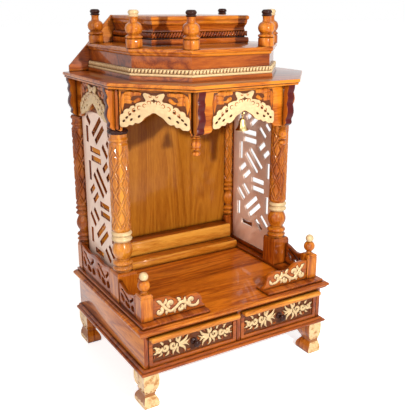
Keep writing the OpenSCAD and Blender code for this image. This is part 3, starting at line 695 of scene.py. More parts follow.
def carve_foot(vertex, corner, into, width, depth):
    """Presses flutes and a scroll into the outer faces, and returns how deep."""
    x = vertex.co.x - corner.x
    y = (vertex.co.y - corner.y) * into
    up = vertex.co.z / FOOT_H
    near = outline_at(up) * width * 0.5
    side_face = abs(x - near) < 0.0004
    front_face = abs(y - near) < 0.0004
    if not (side_face or front_face) or up < 0.02 or up > 0.985:
        return 0.0
    along = (y if side_face else x) / (depth if side_face else width)
    if side_face and front_face:
        return 0.0
    flutes = 0.5 + 0.5 * math.cos(2 * math.pi * (along * 3.4 + 0.35 * math.sin(math.pi * up)))
    knee_x, knee_y = along - 0.42, (up - 0.76) * 1.6
    ring = math.hypot(knee_x, knee_y)
    eye = 0.5 + 0.5 * math.cos(2 * math.pi * ring * 5.2)
    share = max(0.0, 1 - ring / 0.42)
    claws = 0.5 + 0.5 * math.cos(2 * math.pi * along * 4)
    depth_mm = 3.2 * (flutes * (1 - share) * (up > 0.45) + eye * share + claws * 0.9 * (up <= 0.27))
    fade = min(1.0, along / 0.10) * min(1.0, max(0.0, 0.93 - along) / 0.08)
    fade *= min(1.0, (up - 0.02) / 0.03) * min(1.0, (0.985 - up) / 0.03)
    pressed = depth_mm * MM * fade
    if side_face:
        vertex.co.x += pressed
    else:
        vertex.co.y += pressed * into
    return pressed


def outline_at(up):
    """How far the corner stands in at a height, as a share."""
    for (h0, n0, _), (h1, n1, _) in zip(FOOT_SHAPE, FOOT_SHAPE[1:]):
        if h0 <= up <= h1 + 1e-9:
            return n0 + (n1 - n0) * (up - h0) / (h1 - h0)
    return FOOT_SHAPE[-1][1]


for place, is_front in (("front", True), ("rear", False)):
    left, hollow_points = foot(place + " left foot", "foot_%s_left" % place, is_front)
    right = mirrored(left, place + " right foot")
    for piece, side in ((left, "left"), (right, "right")):
        node = "foot_%s_%s" % (place, side)
        outer_x = low(node).x if side == "left" else high(node).x
        outer_y = low(node).y if is_front else high(node).y
        facing_x = -1 if side == "left" else 1
        facing_y = -1 if is_front else 1
        finish(piece, worn_gilt_and_shade, node)
        # Painted shade: faces in the deepest cuts take the tan, partly the brown ground and partly the shade in the
        # cuts.
        second_finish(piece, tan, lambda face: all(index in hollow_points for index in face.vertices))
        second_finish(piece, umber, lambda face: abs(face.center.z / FOOT_H - WAIST_UP - 0.02) < 0.05 or
                      (face.normal.x * facing_x > 0.5 and 0.13 < face.center.z / FOOT_H < WAIST_UP))
        second_finish(piece, honey["z"], lambda face: not (
            face.normal.x * facing_x > 0.35 or face.normal.y * facing_y > 0.35))
print("feet done")

# %% [markdown]
# ## Base plate and deck
# The plate and the deck are boards with a moulded edge on three sides: a half round nose, a small step and
# a cove up to the case. The back is flat against the wall.

# %% Base plate and deck
PLATE_Z0, PLATE_Z1 = low("base_plate").z, high("base_plate").z
PLATE_HALF, PLATE_D = high("base_plate").x, BACK - low("base_plate").y
plate_steps = rounded(PLATE_Z0, PLATE_Z0 + 9 * MM, 4.5 * MM, 4.5 * MM) + [(PLATE_Z0 + 9 * MM, 6.5 * MM)]
plate_steps += hollow(PLATE_Z0 + 9 * MM, PLATE_Z1, 6.5 * MM, 13 * MM)
plate = moulding("base plate", block_levels(PLATE_HALF, PLATE_D, plate_steps))
finish(plate, chestnut["x"], "base_plate")

BOARD_Z0 = low("deck_board").z
DECK_HALF, DECK_D = high("deck_board").x, BACK - low("deck_board").y
deck_steps = rounded(BOARD_Z0, DECK_TOP - 2 * MM, 5 * MM, 5 * MM, 7) + [(DECK_TOP - 2 * MM, 6.5 * MM), (DECK_TOP, 7.5 * MM)]
deck = moulding("deck board", block_levels(DECK_HALF, DECK_D, deck_steps))
finish(deck, honey["x"], "deck_board")
second_finish(deck, floor_wood, lambda face: face.normal.z > 0.9)

MOULD_Z0 = low("deck_moulding").z
MOULD_HALF, MOULD_D = high("deck_moulding").x, BACK - low("deck_moulding").y
mould_steps = hollow(MOULD_Z0, BOARD_Z0 - 3.5 * MM, 12.5 * MM, 2 * MM, 6, False) + [(BOARD_Z0 - 3.5 * MM, 0.6 * MM)]
mould_steps += [(BOARD_Z0 - 2 * MM, 0.0), (BOARD_Z0 - 0.5 * MM, 0.4 * MM), (BOARD_Z0, 1.5 * MM)]
deck_mould = moulding("deck moulding", block_levels(MOULD_HALF, MOULD_D, mould_steps))
finish(deck_mould, chestnut["x"], "deck_moulding")
print("plate, deck and moulding done")

# %% [markdown]
# ## Drawer case
# The case is boards on edge. Only its sides and the front edges of its sides and divider show.

# %% Drawer case
for node, grain in (("case_left", "y"), ("case_right", "y"), ("case_back", "x"), ("case_divider", "y")):
    piece = board(node.replace("_", " "), low(node), high(node), 1.2 * MM)
    finish(piece, honey[grain], node)
    if node in ("case_left", "case_right", "case_divider"):
        second_finish(piece, chestnut["z"], lambda face: face.normal.y < -0.5)

# %% [markdown]
# ## Rims
# A low rim runs along both sides of the deck and turns in front of the panels. Each is one flat outline
# with a thickness.

# %% Rims
rim_low, rim_high = low("rim_right"), high("rim_right")
RIM_IN = COLUMN_X - (high("column_front_right").x - low("column_front_right").x) / 2
RIM_FRONT_IN = BACK - high("front_panel_right").y - 21 * MM
rim_outline = [
    (RIM_IN, BACK), (rim_high.x, BACK), (rim_high.x, rim_low.y), (rim_low.x, rim_low.y),
    (rim_low.x, BACK - RIM_FRONT_IN), (RIM_IN, BACK - RIM_FRONT_IN),
]
right_rim = fretwork("right rim", [], rim_high.z - rim_low.z, 2 * MM, [rim_outline])
move_into_place(right_rim, Matrix.Translation((0, 0, rim_low.z)))
left_rim = mirrored(right_rim, "left rim")
finish(right_rim, chestnut["y"], "rim_right")
finish(left_rim, chestnut["y"], "rim_left")

# %% [markdown]
# ## Drawers
# Each drawer is a box of thin boards, a framed front with a rounded lip along its top, and a knob. The
# field of the front is sunk, and coloured a dark brown that is partly painted shade of the recess. In it lies a carving
# of brown leaves, with gilt scrolls on both sides of the knob. The right drawer is made, and the left one is its mirror
# image.

# %% Drawer box and front
front_low, front_high = low("drawer_right_front"), high("drawer_right_front")
LIP_T = 13 * MM
LIP_OUT = 22 * MM
FRONT_Y = front_low.y + LIP_OUT
FRAME_W = 11 * MM
SUNK = 5 * MM
LIP_Z = front_high.z - LIP_T


def drawer_box(name, node):
    """A box open at the top: the top face is inset by the wall and pushed down to the floor."""
    lowest, highest = low(node), high(node)
    nothing_selected()
    bpy.ops.mesh.primitive_cube_add(size=1, location=(lowest + highest) / 2)
    piece = bpy.context.object
    piece.name = name
    piece.scale = highest - lowest
    bpy.ops.object.transform_apply(location=True, rotation=True, scale=True)
    pick_faces(piece, lambda face: face.normal.z > 0.5)
    bpy.ops.mesh.inset(thickness=8 * MM)
    bpy.ops.mesh.extrude_region_move(TRANSFORM_OT_translate={"value": (0, 0, lowest.z - highest.z + 8 * MM)})
    bpy.ops.object.mode_set(mode="OBJECT")
    outward(piece)
    soften(piece, 0.8 * MM, 2)
    return piece


def drawer_front(name):
    """A framed front: a slab whose front face is inset and pushed back."""
    nothing_selected()
    lowest = Vector((front_low.x, FRONT_Y, front_low.z))
    highest = Vector((front_high.x, front_high.y, front_high.z))
    bpy.ops.mesh.primitive_cube_add(size=1, location=(lowest + highest) / 2)
    piece = bpy.context.object
    piece.name = name
    piece.scale = highest - lowest
    bpy.ops.object.transform_apply(location=True, rotation=True, scale=True)
    pick_faces(piece, lambda face: face.normal.y < -0.5)
    bpy.ops.mesh.inset(thickness=FRAME_W)
    bpy.ops.mesh.extrude_region_move(TRANSFORM_OT_translate={"value": (0, SUNK, 0)})
    bpy.ops.object.mode_set(mode="OBJECT")
    outward(piece)
    soften(piece, 1.0 * MM, 2)
    return piece


FIELD_Y = FRONT_Y + SUNK
MIDDLE = (front_low.x + front_high.x) / 2
FIELD_HALF = (front_high.x - front_low.x) / 2 - FRAME_W
FIELD_Z0 = front_low.z + FRAME_W
FIELD_Z1 = LIP_Z
FIELD_H = FIELD_Z1 - FIELD_Z0
KNOB_Z = (low("drawer_right_knob").z + high("drawer_right_knob").z) / 2


def brown_leaves():
    """Strokes of the brown carving on one side of the knob, in metres from the middle of the front."""
    strokes = []
    draw = random.Random(4)
    for column in range(8):
        for row in range(3):
            x = 18 + column * 14.5 + draw.uniform(-2, 2)
            y = 11 + row * 22 + draw.uniform(-2, 2)
            lean = draw.uniform(-40, 40) + (90 if (row + column) % 2 else 20)
            reach = 15
            dx, dy = reach * math.cos(math.radians(lean)), reach * math.sin(math.radians(lean))
            strokes.append(leaf(x - dx / 2, y - dy / 2, x + dx / 2, y + dy / 2, 3.3, draw.uniform(-0.3, 0.3)))
    return strokes


def gilt_scrolls():
    """Strokes of the gilt carving on one side of the knob, in millimetres from the middle of the front."""
    strokes = []
    for x, y, radius, start, hand in ((62, 33, 11.5, 160, 1), (85, 32, 9.5, 20, -1), (104, 31, 7.5, 160, 1)):
        strokes.append(curl(x, y, radius, start, 1.25, 3.6, 16, 0.2, hand))
    for x0, y0, x1, y1, width, bend in (
            (46, 32, 12, 40, 4.2, 0.15), (46, 34, 17, 57, 4.6, 0.2), (46, 36, 33, 60, 4.4, -0.15),
            (46, 38, 50, 59, 3.8, -0.2), (46, 30, 15, 20, 4.4, -0.2), (46, 28, 25, 6, 4.6, -0.2),
            (48, 26, 43, 4, 4.2, 0.2), (54, 24, 62, 6, 3.8, 0.2), (70, 45, 80, 56, 3.6, 0.25),
            (76, 22, 86, 9, 3.6, -0.2), (92, 42, 101, 51, 3.2, 0.2), (95, 22, 105, 13, 3.2, -0.2),
            (108, 33, 120, 40, 3.4, 0.2), (108, 29, 120, 22, 3.4, -0.2)):
        strokes.append(leaf(x0, y0, x1, y1, width, bend))
    return strokes


def scaled(strokes, mirror=1):
    """Strokes in metres, on one side or the other."""
    return [[(x * mirror * MM, y * MM, w * MM) for x, y, w in stroke] for stroke in strokes]


stand = Matrix.Translation((MIDDLE, FIELD_Y, FIELD_Z0)) @ Matrix.Rotation(math.radians(90), 4, "X")
leaves = brown_leaves()
carving = scrolls("right drawer leaves", scaled(leaves) + scaled(leaves, -1), 0.75, 2)
move_into_place(carving, stand)
gilding = gilt_scrolls()
drawer_gilt = scrolls("right drawer scrolls", scaled(gilding) + scaled(gilding, -1), 0.8, 2)
move_into_place(drawer_gilt, Matrix.Translation((0, -2.5 * MM, 0)) @ stand)
lip = board("right drawer lip", (front_low.x, front_low.y, LIP_Z), (front_high.x, FRONT_Y + 2 * MM, front_high.z),
            4.5 * MM, 5)
knob_r = (high("drawer_right_knob").x - low("drawer_right_knob").x) / 2
knob_out = high("drawer_right_knob").y - low("drawer_right_knob").y + SUNK
knob_profile = [(0.0, 0.0), (knob_r * 0.95, 0.0), (knob_r * 0.95, 2.5 * MM), (knob_r * 0.7, 4 * MM)]
knob_profile += swell(knob_r * 0.42, 6 * MM, knob_r * 0.42, knob_out * 0.55, knob_r * 0.36, 4)
knob_profile += swell(knob_r * 0.6, knob_out * 0.58, knob_r * 0.55, knob_out * 0.94, knob_r * 1.0, 8)
knob_profile += [(knob_r * 0.3, knob_out * 0.99), (0.0, knob_out)]
knob = turned("right drawer knob", knob_profile, (0, 0, 0), 32)
move_into_place(knob, Matrix.Translation((MIDDLE, FRONT_Y + SUNK, KNOB_Z)) @ Matrix.Rotation(math.radians(90), 4, "X"))
right_parts = [
    (drawer_box("right drawer box", "drawer_right_box"), bare_wood, "drawer_lining", "drawer_%s_box"),
    (drawer_front("right drawer front"), chestnut["x"], "dark_wood", "drawer_%s_front"),
    (lip, amber["x"], "varnished_wood", ""),
    (carving, chestnut["x"], "varnished_wood", ""),
    (drawer_gilt, gilt, "gilt", ""),
    (knob, black_paint, "knob", "drawer_%s_knob"),
]
for piece, material, slot, node in right_parts:
    other = mirrored(piece, piece.name.replace("right", "left"))
    for copy, side in ((piece, "right"), (other, "left")):
        finish(copy, material, node % side if node else "", "drawer_" + side)
        if node == "drawer_%s_front":
            # Painted shade: the sunk field takes the dark brown ground.
            second_finish(copy, ground_and_shade_brown, lambda face: face.center.y > FRONT_Y + SUNK * 0.8 and
                          face.normal.y < -0.5)
print("drawers done")

# %% [markdown]
# ## Newels
# A newel is a square post with a chamfered top, a turned wooden ball on a short neck, and a smaller gilt
# ball on top of it.

# %% Newels
newel_low, newel_high = low("newel_right"), high("newel_right")
NEWEL_W = newel_high.x - newel_low.x
NEWEL_H = 72 * MM
BALL_R = 16 * MM
SMALL_R = 11.5 * MM
newel_mid = Vector(((newel_low.x + newel_high.x) / 2, (newel_low.y + newel_high.y) / 2, newel_low.z))


def square(centre, half, z):
    """Corners of a square."""
    return [Vector((centre.x + sx * half, centre.y + sy * half, z)) for sx, sy in
            ((-1, -1), (1, -1), (1, 1), (-1, 1))]


newel_levels = []
for rise, inset in ((0, 0.8), (1, 0), (NEWEL_H / MM - 10, 0), (NEWEL_H / MM - 8.5, 1.2), (NEWEL_H / MM - 7, 0),
                    (NEWEL_H / MM - 3.5, 0), (NEWEL_H / MM, 4)):
    newel_levels.append(square(newel_mid, NEWEL_W / 2 - inset * MM, newel_low.z + rise * MM))
newel_post = moulding("right newel post", newel_levels, 20)
soften(newel_post, 1.2 * MM, 2, 60)
neck_z = NEWEL_H
ball_z = NEWEL_H + 8 * MM + BALL_R * 0.9
small_z = ball_z + BALL_R * 0.9 + SMALL_R * 0.8
top_z = newel_high.z - newel_low.z
ball_profile = [(0.0, neck_z - 1 * MM), (12 * MM, neck_z - 1 * MM), (12 * MM, neck_z + 1.5 * MM),
                (8 * MM, neck_z + 3 * MM), (7.5 * MM, neck_z + 6 * MM)]
for k in range(2, 15):
    turn = math.pi * k / 16
    ball_profile.append((BALL_R * math.sin(turn), ball_z - BALL_R * math.cos(turn)))
ball_profile += [(4.5 * MM, ball_z + BALL_R * 0.97), (0.0, ball_z + BALL_R)]
wood_ball = turned("right newel ball", ball_profile, newel_mid, 40)
small_profile = [(0.0, small_z - SMALL_R)]
for k in range(2, 17):
    turn = math.pi * k / 16
    small_profile.append((SMALL_R * math.sin(turn), small_z - SMALL_R * math.cos(turn)))
small_profile[-1] = (0.0, min(top_z, small_z + SMALL_R))
gilt_ball = turned("right newel gilt ball", small_profile, newel_mid, 36)
for piece, material, slot, node in ((newel_post, honey["z"], "turned_wood", "newel_%s"),
                                    (wood_ball, honey["z"], "turned_wood", ""), (gilt_ball, gilt, "gilt", "")):
    other = mirrored(piece, piece.name.replace("right", "left"))
    finish(piece, material, node % "right" if node else "")
    finish(other, material, node % "left" if node else "")

# %% [markdown]
# ## Front panels
# Beside each newel stands a low panel with a wavy top that falls to the middle. A cream scroll with leaves
# is carved on it.

# %% Front panels
panel_low, panel_high = low("front_panel_right"), high("front_panel_right")
PANEL_L = panel_high.x - panel_low.x
PANEL_H = panel_high.z - panel_low.z
PANEL_T = panel_high.y - panel_low.y
panel_outline = [(0.0, 0.0), (0.0, 1.0), (0.10, 0.995), (0.22, 0.985), (0.30, 0.95), (0.36, 0.83), (0.44, 0.71),
                 (0.53, 0.70), (0.62, 0.75), (0.72, 0.80), (0.82, 0.77), (0.90, 0.66), (0.925, 0.48),
                 (0.93, 0.30), (0.955, 0.16), (1.0, 0.08), (1.0, 0.0)]
panel = fretwork("right front panel", [], PANEL_T, 1.2 * MM,
                 [[(PANEL_L * (1 - u), PANEL_H * w) for u, w in panel_outline]])
panel_stand = Matrix.Translation((panel_low.x, panel_high.y, panel_low.z)) @ Matrix.Rotation(math.radians(90), 4, "X")
move_into_place(panel, panel_stand)
vine = [[(20, 16, 2.6), (38, 8, 4.6), (56, 24, 5.0), (72, 34, 5.0), (90, 18, 5.0), (106, 10, 5.0), (122, 28, 5.0), (134, 44, 3.6)],
        curl(43, 29, 8.5, 290, 1.0, 4.6, 14, 0.15), curl(76, 15, 8.0, 110, 1.0, 4.4, 14, 0.15),
        curl(104, 33, 9.5, 290, 1.0, 5.0, 14, 0.15), curl(136, 20, 9.5, 110, 1.0, 5.0, 14, 0.15)]
vine += [leaf(x0, y0, x1, y1, w, b) for x0, y0, x1, y1, w, b in (
    (32, 10, 22, 28, 5.4, 0.2), (58, 26, 60, 45, 5.4, -0.2), (60, 22, 58, 5, 5.0, 0.2), (78, 32, 88, 46, 5.6, 0.25),
    (90, 16, 90, 3, 4.8, 0.2), (118, 16, 118, 4, 5.0, -0.2), (124, 36, 118, 53, 5.6, 0.2),
    (132, 38, 146, 50, 5.6, 0.2))]
panel_vine = scrolls("right panel scroll", scaled(vine), 0.7, 2)
move_into_place(panel_vine, Matrix.Translation((0, -PANEL_T + 0.8 * MM, 0)) @ panel_stand)
# Painted shade: a dark outline a little wider than the scroll lies under it, as the shade round the relief.
panel_ground = scrolls("right panel scroll ground", [[(x, y, w + 2.2 * MM) for x, y, w in stroke]
                                                     for stroke in scaled(vine)], 0.18, 1)
move_into_place(panel_ground, Matrix.Translation((0, -PANEL_T + 0.4 * MM, 0)) @ panel_stand)
for piece, material, slot, node in ((panel, chestnut["x"], "varnished_wood", "front_panel_%s"),
                                    (panel_ground, ground_and_shade_brown, "dark_wood", ""), (panel_vine, gilt, "gilt", "")):
    other = mirrored(piece, piece.name.replace("right", "left"))
    finish(piece, material, node % "right" if node else "")
    finish(other, material, node % "left" if node else "")
print("newels and panels done")

# %% [markdown]
# ## Side rails
# Between the columns and the newels run low fretwork rails with a wavy top, pierced by curved leaf shapes.

# %% Side rails
rails_low, rails_high = low("side_rails_right"), high("side_rails_right")
RAIL_H = rails_high.z - rails_low.z
RAIL_T = rails_high.x - rails_low.x
COLUMN_HALF = (high("column_front_right").x - low("column_front_right").x) / 2
NEWEL_BACK_F = BACK - newel_high.y


def rail(name, f0, f1, height, waves, fall):
    """One rail between two distances from the back face."""
    length = f1 - f0
    pitch = length / waves
    top = [(length * k / (waves * 16), height - fall * (1 - math.cos(2 * math.pi * k / 16)) / 2)
           for k in range(waves * 16 + 1)]
    holes = []
    for k in range(waves):
        x = k * pitch
        for shape in (
                ((0.14, 0.78), (0.24, 0.74), (0.36, 0.62), (0.50, 0.50), (0.62, 0.47), (0.50, 0.60), (0.34, 0.72), (0.22, 0.82)),
                ((0.68, 0.50), (0.80, 0.60), (0.88, 0.76), (0.82, 0.80), (0.76, 0.68), (0.66, 0.58)),
                ((0.12, 0.58), (0.22, 0.52), (0.30, 0.38), (0.30, 0.26), (0.20, 0.30), (0.13, 0.42)),
                ((0.40, 0.40), (0.54, 0.36), (0.66, 0.26), (0.62, 0.18), (0.48, 0.18), (0.38, 0.28)),
                ((0.74, 0.38), (0.86, 0.42), (0.92, 0.28), (0.84, 0.18), (0.74, 0.22))):
            holes.append([(x + pitch * u, height * w) for u, w in shape])
    piece = fretwork(name, holes, RAIL_T, 1.0 * MM, [[(0.0, 0.0)] + top + [(length, 0.0)]])
    turn = Matrix(((0, 0, 1, 0), (-1, 0, 0, 0), (0, 1, 0, 0), (0, 0, 0, 1)))
    move_into_place(piece, Matrix.Translation((rails_high.x - RAIL_T, BACK - f0, rails_low.z)) @ turn)
    outward(piece)
    return piece


FRONT_RAIL_H = 62 * MM
rear_rail = rail("right rear rail", COLUMN_HALF, COLUMN_F - COLUMN_HALF, RAIL_H, 2, RAIL_H * 0.1)
front_rail = rail("right front rail", COLUMN_F + COLUMN_HALF, NEWEL_BACK_F, FRONT_RAIL_H, 1, FRONT_RAIL_H * 0.2)
for piece, node in ((rear_rail, "side_rails_%s"), (front_rail, "")):
    other = mirrored(piece, piece.name.replace("right", "left"))
    finish(piece, chestnut["y"], node % "right" if node else "")
    finish(other, chestnut["y"], node % "left" if node else "")

# %% [markdown]
# ## Columns
# Each column is turned: two rings, a vase, two more rings, a long shaft and a capital. The shaft is carved
# with crossing ribs that leave diamonds, each with a vein. The rings above the vase are gilt on the front
# pair, and the capital is a dark twisted ring. The rear columns are half columns against the back.

# %% Columns
PLINTH_H = 82 * MM
PLINTH_TOP = RIM_TOP + PLINTH_H
SHAFT_R = 26 * MM
RING = 1.5 * MM
DIAMONDS_ROUND = 5
DIAMOND_H = 62 * MM
CARVED_FROM, CARVED_TO = 119 * MM, 343 * MM
CAPITAL_FROM = 371 * MM
SHAFT_H = CAPITAL - PLINTH_TOP


def column_profile():
    """Radius and height from the top of the plinth to the top of the capital."""
    r = SHAFT_R
    rows = [(0.0, 0.0), (r * 0.92, 0.0), (r * 0.94, 1.5 * MM)]
    rows += swell(r * 0.90, 3 * MM, r * 0.90, 14 * MM, r + RING)
    rows += swell(r * 0.86, 16 * MM, r * 0.88, 30 * MM, r + RING)
    rows += [(r * 0.74, 32 * MM), (r * 0.72, 35 * MM)]
    rows += swell(r * 0.78, 37 * MM, r * 0.80, 79 * MM, r + RING, 14)
    rows += [(r * 0.76, 81 * MM), (r * 0.78, 83 * MM)]
    rows += swell(r * 0.88, 84 * MM, r * 0.88, 97 * MM, r + RING)
    rows += swell(r * 0.86, 98.5 * MM, r * 0.88, 112 * MM, r + RING)
    rows += [(r * 0.90, 114 * MM), (r * 0.97, 117 * MM)]
    count = 104
    rows += [(r, CARVED_FROM + (CARVED_TO - CARVED_FROM) * k / count) for k in range(count + 1)]
    rows += [(r * 0.88, 347 * MM), (r * 0.87, 351 * MM)]
    rows += swell(r * 0.90, 352 * MM, r * 0.90, 361 * MM, r * 1.0)
    rows += [(r * 0.86, 363 * MM), (r * 0.88, 369 * MM)]
    rows += swell(r * 0.92, CAPITAL_FROM, r * 0.92, SHAFT_H - 1 * MM, r + RING - 0.6 * MM, 10)
    rows += [(r * 0.86, SHAFT_H), (0.0, SHAFT_H)]
    return rows


def carve_shaft(piece, axis):
    """Cuts the ribs, diamonds and veins of the shaft, and the twist of the capital."""
    for vertex in piece.data.vertices:
        dx, dy = vertex.co.x - axis.x, vertex.co.y - axis.y
        radius = math.hypot(dx, dy)
        height = vertex.co.z - PLINTH_TOP
        if radius < SHAFT_R * 0.5:
            continue
        angle = math.atan2(dy, dx) / (2 * math.pi) * DIAMONDS_ROUND
        change = 0.0
        if CARVED_FROM < height < CARVED_TO:
            rise = (height - CARVED_FROM) / DIAMOND_H
            first, second = angle + rise, angle - rise
            spacing = 29.0
            d = min(abs(first - round(first)), abs(second - round(second))) * spacing
            groove = -3.0 * math.exp(-((d - 3.6) / 2.0) ** 2)
            dome = -0.5 * min(1.0, d / 8.0)
            vein = abs((first + second) / 2 + 0.5 - round((first + second) / 2 + 0.5)) * 32.0
            change = groove + dome - 1.6 * math.exp(-(vein / 1.4) ** 2) * (d > 5.5)
            ends = min(height - CARVED_FROM, CARVED_TO - height) / (4 * MM)
            change *= min(1.0, ends)
        elif height > CAPITAL_FROM + 1 * MM and height < SHAFT_H - 1 * MM:
            twist = angle * 16 / DIAMONDS_ROUND + (height - CAPITAL_FROM) / (20 * MM)
            change = 0.6 * math.cos(2 * math.pi * twist) - 0.3
        scale = (radius + change * MM) / radius
        vertex.co.x = axis.x + dx * scale
        vertex.co.y = axis.y + dy * scale


def plinth(name, axis, rear):
    """A square plinth with a chamfered top, halved at the back for the rear columns."""
    half = COLUMN_HALF
    levels = []
    for rise, inset in ((0, 0.6), (1, 0), (74, 0), (75.5, 1.4), (77, 0.4), (79, 1.2), (82, 4.5)):
        d = half - inset * MM
        y1 = axis.y if rear else axis.y + d
        levels.append([Vector((axis.x - d, axis.y - d, RIM_TOP + rise * MM)),
                       Vector((axis.x + d, axis.y - d, RIM_TOP + rise * MM)),
                       Vector((axis.x + d, y1, RIM_TOP + rise * MM)),
                       Vector((axis.x - d, y1, RIM_TOP + rise * MM))])
    piece = moulding(name, levels, 20)
    if not rear:
        soften(piece, 1.2 * MM, 2, 60)
    return piece


def column(name, axis, rear):
    """A turned and carved column on the right."""
    foot_of_shaft = Vector((axis.x, axis.y, PLINTH_TOP))
    piece = turned(name, column_profile(), foot_of_shaft, 48 if rear else 96, 40, 180 if rear else 360)
    if rear:
        take(piece)
        bpy.ops.object.mode_set(mode="EDIT")
        bpy.ops.mesh.select_mode(type="EDGE")
        bpy.ops.mesh.select_all(action="DESELECT")
        bpy.ops.mesh.select_non_manifold(extend=False, use_wire=True, use_boundary=True,
                                         use_multi_face=False, use_non_contiguous=False, use_verts=False)
        bpy.ops.mesh.edge_face_add()
        bpy.ops.object.mode_set(mode="OBJECT")
        outward(piece)
    carve_shaft(piece, axis)
    smooth(piece, 40)
    return piece


for rear in (False, True):
    word = "rear" if rear else "front"
    axis = at(COLUMN_X, 0 if rear else COLUMN_F, 0)
    shaft = column("right %s column" % word, axis, rear)
    base = plinth("right %s plinth" % word, axis, rear)
    for piece, node in ((shaft, "column_%s_%%s" % word), (base, "")):
        other = mirrored(piece, piece.name.replace("right", "left"))
        for copy, side in ((piece, "right"), (other, "left")):
            # Painted light and shade: the left front column takes the lighter golden wood while the right front column
            # stays honey, and the right plinths take the darker chestnut, as lit and shaded copies of one wood.
            wood = lit_left_column_wood if side == "left" and node and not rear else honey["z"]
            if side == "right" and not node:
                wood = chestnut["z"]
            finish(copy, wood, node % side if node else "")
            if node:
                capital = chestnut["z"] if rear else black_paint
                second_finish(copy, capital, lambda face: face.center.z > PLINTH_TOP + CAPITAL_FROM)
                if not rear:
                    second_finish(copy, gilt, lambda face: 83.5 * MM < face.center.z - PLINTH_TOP < 112.5 * MM)
print("columns done")

# %% [markdown]
# ## Lattices
# Between the columns stand thin pale boards with groups of slots: pairs that lie flat, lean left or lean
# right, and single upright ones. Each has a dark sill, and a stile beside the rear column.

# %% Lattices
lattice_low, lattice_high = low("lattice_right"), high("lattice_right")
LATTICE_W = lattice_high.y - lattice_low.y
LATTICE_H = lattice_high.z - lattice_low.z
LATTICE_T = lattice_high.x - lattice_low.x
SLOT_W = 16 * MM
SLOTS = [
    (41, 77.6, 0, 35), (43, 72.4, 0, 33), (74, 79.7, -40, 20), (86, 83.8, -40, 14), (20, 64.1, 90, 27),
    (73, 70.5, 40, 19), (84, 66.2, 40, 18), (59, 61.4, -40, 40), (48, 57.6, -40, 40), (25, 53.0, 40, 20),
    (36, 48.7, 40, 22), (90, 55.5, 90, 24), (65, 46.6, 0, 31), (66, 40.9, 0, 31), (35, 38.2, -40, 21),
    (22, 33.8, -40, 23), (16, 23.0, 90, 22), (49, 29.7, 40, 39), (58, 25.7, 40, 37), (89, 32.3, 90, 27),
    (70, 16.7, -40, 21), (83, 20.5, -40, 22), (39, 14.3, 0, 29), (49, 92, 40, 39), (58, 88, 40, 37),
    (16, 85.9, 90, 22), (89, 93.2, 90, 20), (22, 94.6, -40, 15),
]


def slot_outline(x, y, lean, length):
    """Corners of a slot from its middle, its lean in degrees and its length."""
    c, s = math.cos(math.radians(lean)), math.sin(math.radians(lean))
    corners = ((-length / 2, -SLOT_W / 2), (length / 2, -SLOT_W / 2), (length / 2, SLOT_W / 2), (-length / 2, SLOT_W / 2))
    return [(x + u * c - v * s, y + u * s + v * c) for u, v in corners]


slot_loops = [slot_outline(x * LATTICE_W / 100, y * LATTICE_H / 100, lean, length * LATTICE_W / 100)
              for x, y, lean, length in SLOTS]
frame_loop = [(0, 0), (LATTICE_W, 0), (LATTICE_W, LATTICE_H), (0, LATTICE_H)]
right_lattice = fretwork("right lattice", [], LATTICE_T, 0.7 * MM, [frame_loop] + slot_loops)
side_turn = Matrix(((0, 0, 1, 0), (-1, 0, 0, 0), (0, 1, 0, 0), (0, 0, 0, 1)))
move_into_place(right_lattice, Matrix.Translation((lattice_low.x, lattice_high.y, lattice_low.z)) @ side_turn)
outward(right_lattice)
left_lattice = mirrored(right_lattice, "left lattice")
finish(right_lattice, lattice_paint, "lattice_right")
finish(left_lattice, lattice_paint, "lattice_left")
# Painted shade: only the left lattice has the walls of its slots darkened to brown.
second_finish(left_lattice, chestnut["z"], lambda face: abs(face.normal.x) < 0.2 and
              lattice_low.y + 4 * MM < face.center.y < lattice_high.y - 4 * MM and
              lattice_low.z + 4 * MM < face.center.z < lattice_high.z - 4 * MM)

SILL_TOP = lattice_low.z
STILE_F = BACK - lattice_high.y
sill = plan_board("right lattice sill", high("lattice_frames").x - LATTICE_T - 10 * MM, high("lattice_frames").x,
                  COLUMN_HALF, COLUMN_F - COLUMN_HALF, RIM_TOP, SILL_TOP, 1.5 * MM)
stile = plan_board("right lattice stile", lattice_low.x, lattice_high.x, COLUMN_HALF, STILE_F, SILL_TOP,
                   high("lattice_frames").z, 1.0 * MM)
for piece, node in ((sill, "lattice_frames"), (stile, "")):
    other = mirrored(piece, piece.name.replace("right", "left"))
    finish(piece, chestnut["y"], node)
    finish(other, chestnut["y"], "")

# %% [markdown]
# ## Back panel and steps
# The back is one veneered board with upright grain. In front of it rise two steps, each with a rounded
# nosing along its front edge, for idols and lamps.

# %% Back panel and steps
panel_half = RIM_IN + 6 * MM
lower_back = plan_board("back panel", -panel_half, panel_half, 0.2 * MM, 8 * MM, DECK_TOP, CAPITAL, 0.8 * MM)
upper_back = plan_board("upper back panel", low("back_panel").x, high("back_panel").x, 0, 8 * MM, CAPITAL, SLAB_BOTTOM,
                        0.8 * MM)
finish(lower_back, veneer, "back_panel")
finish(upper_back, veneer, "")


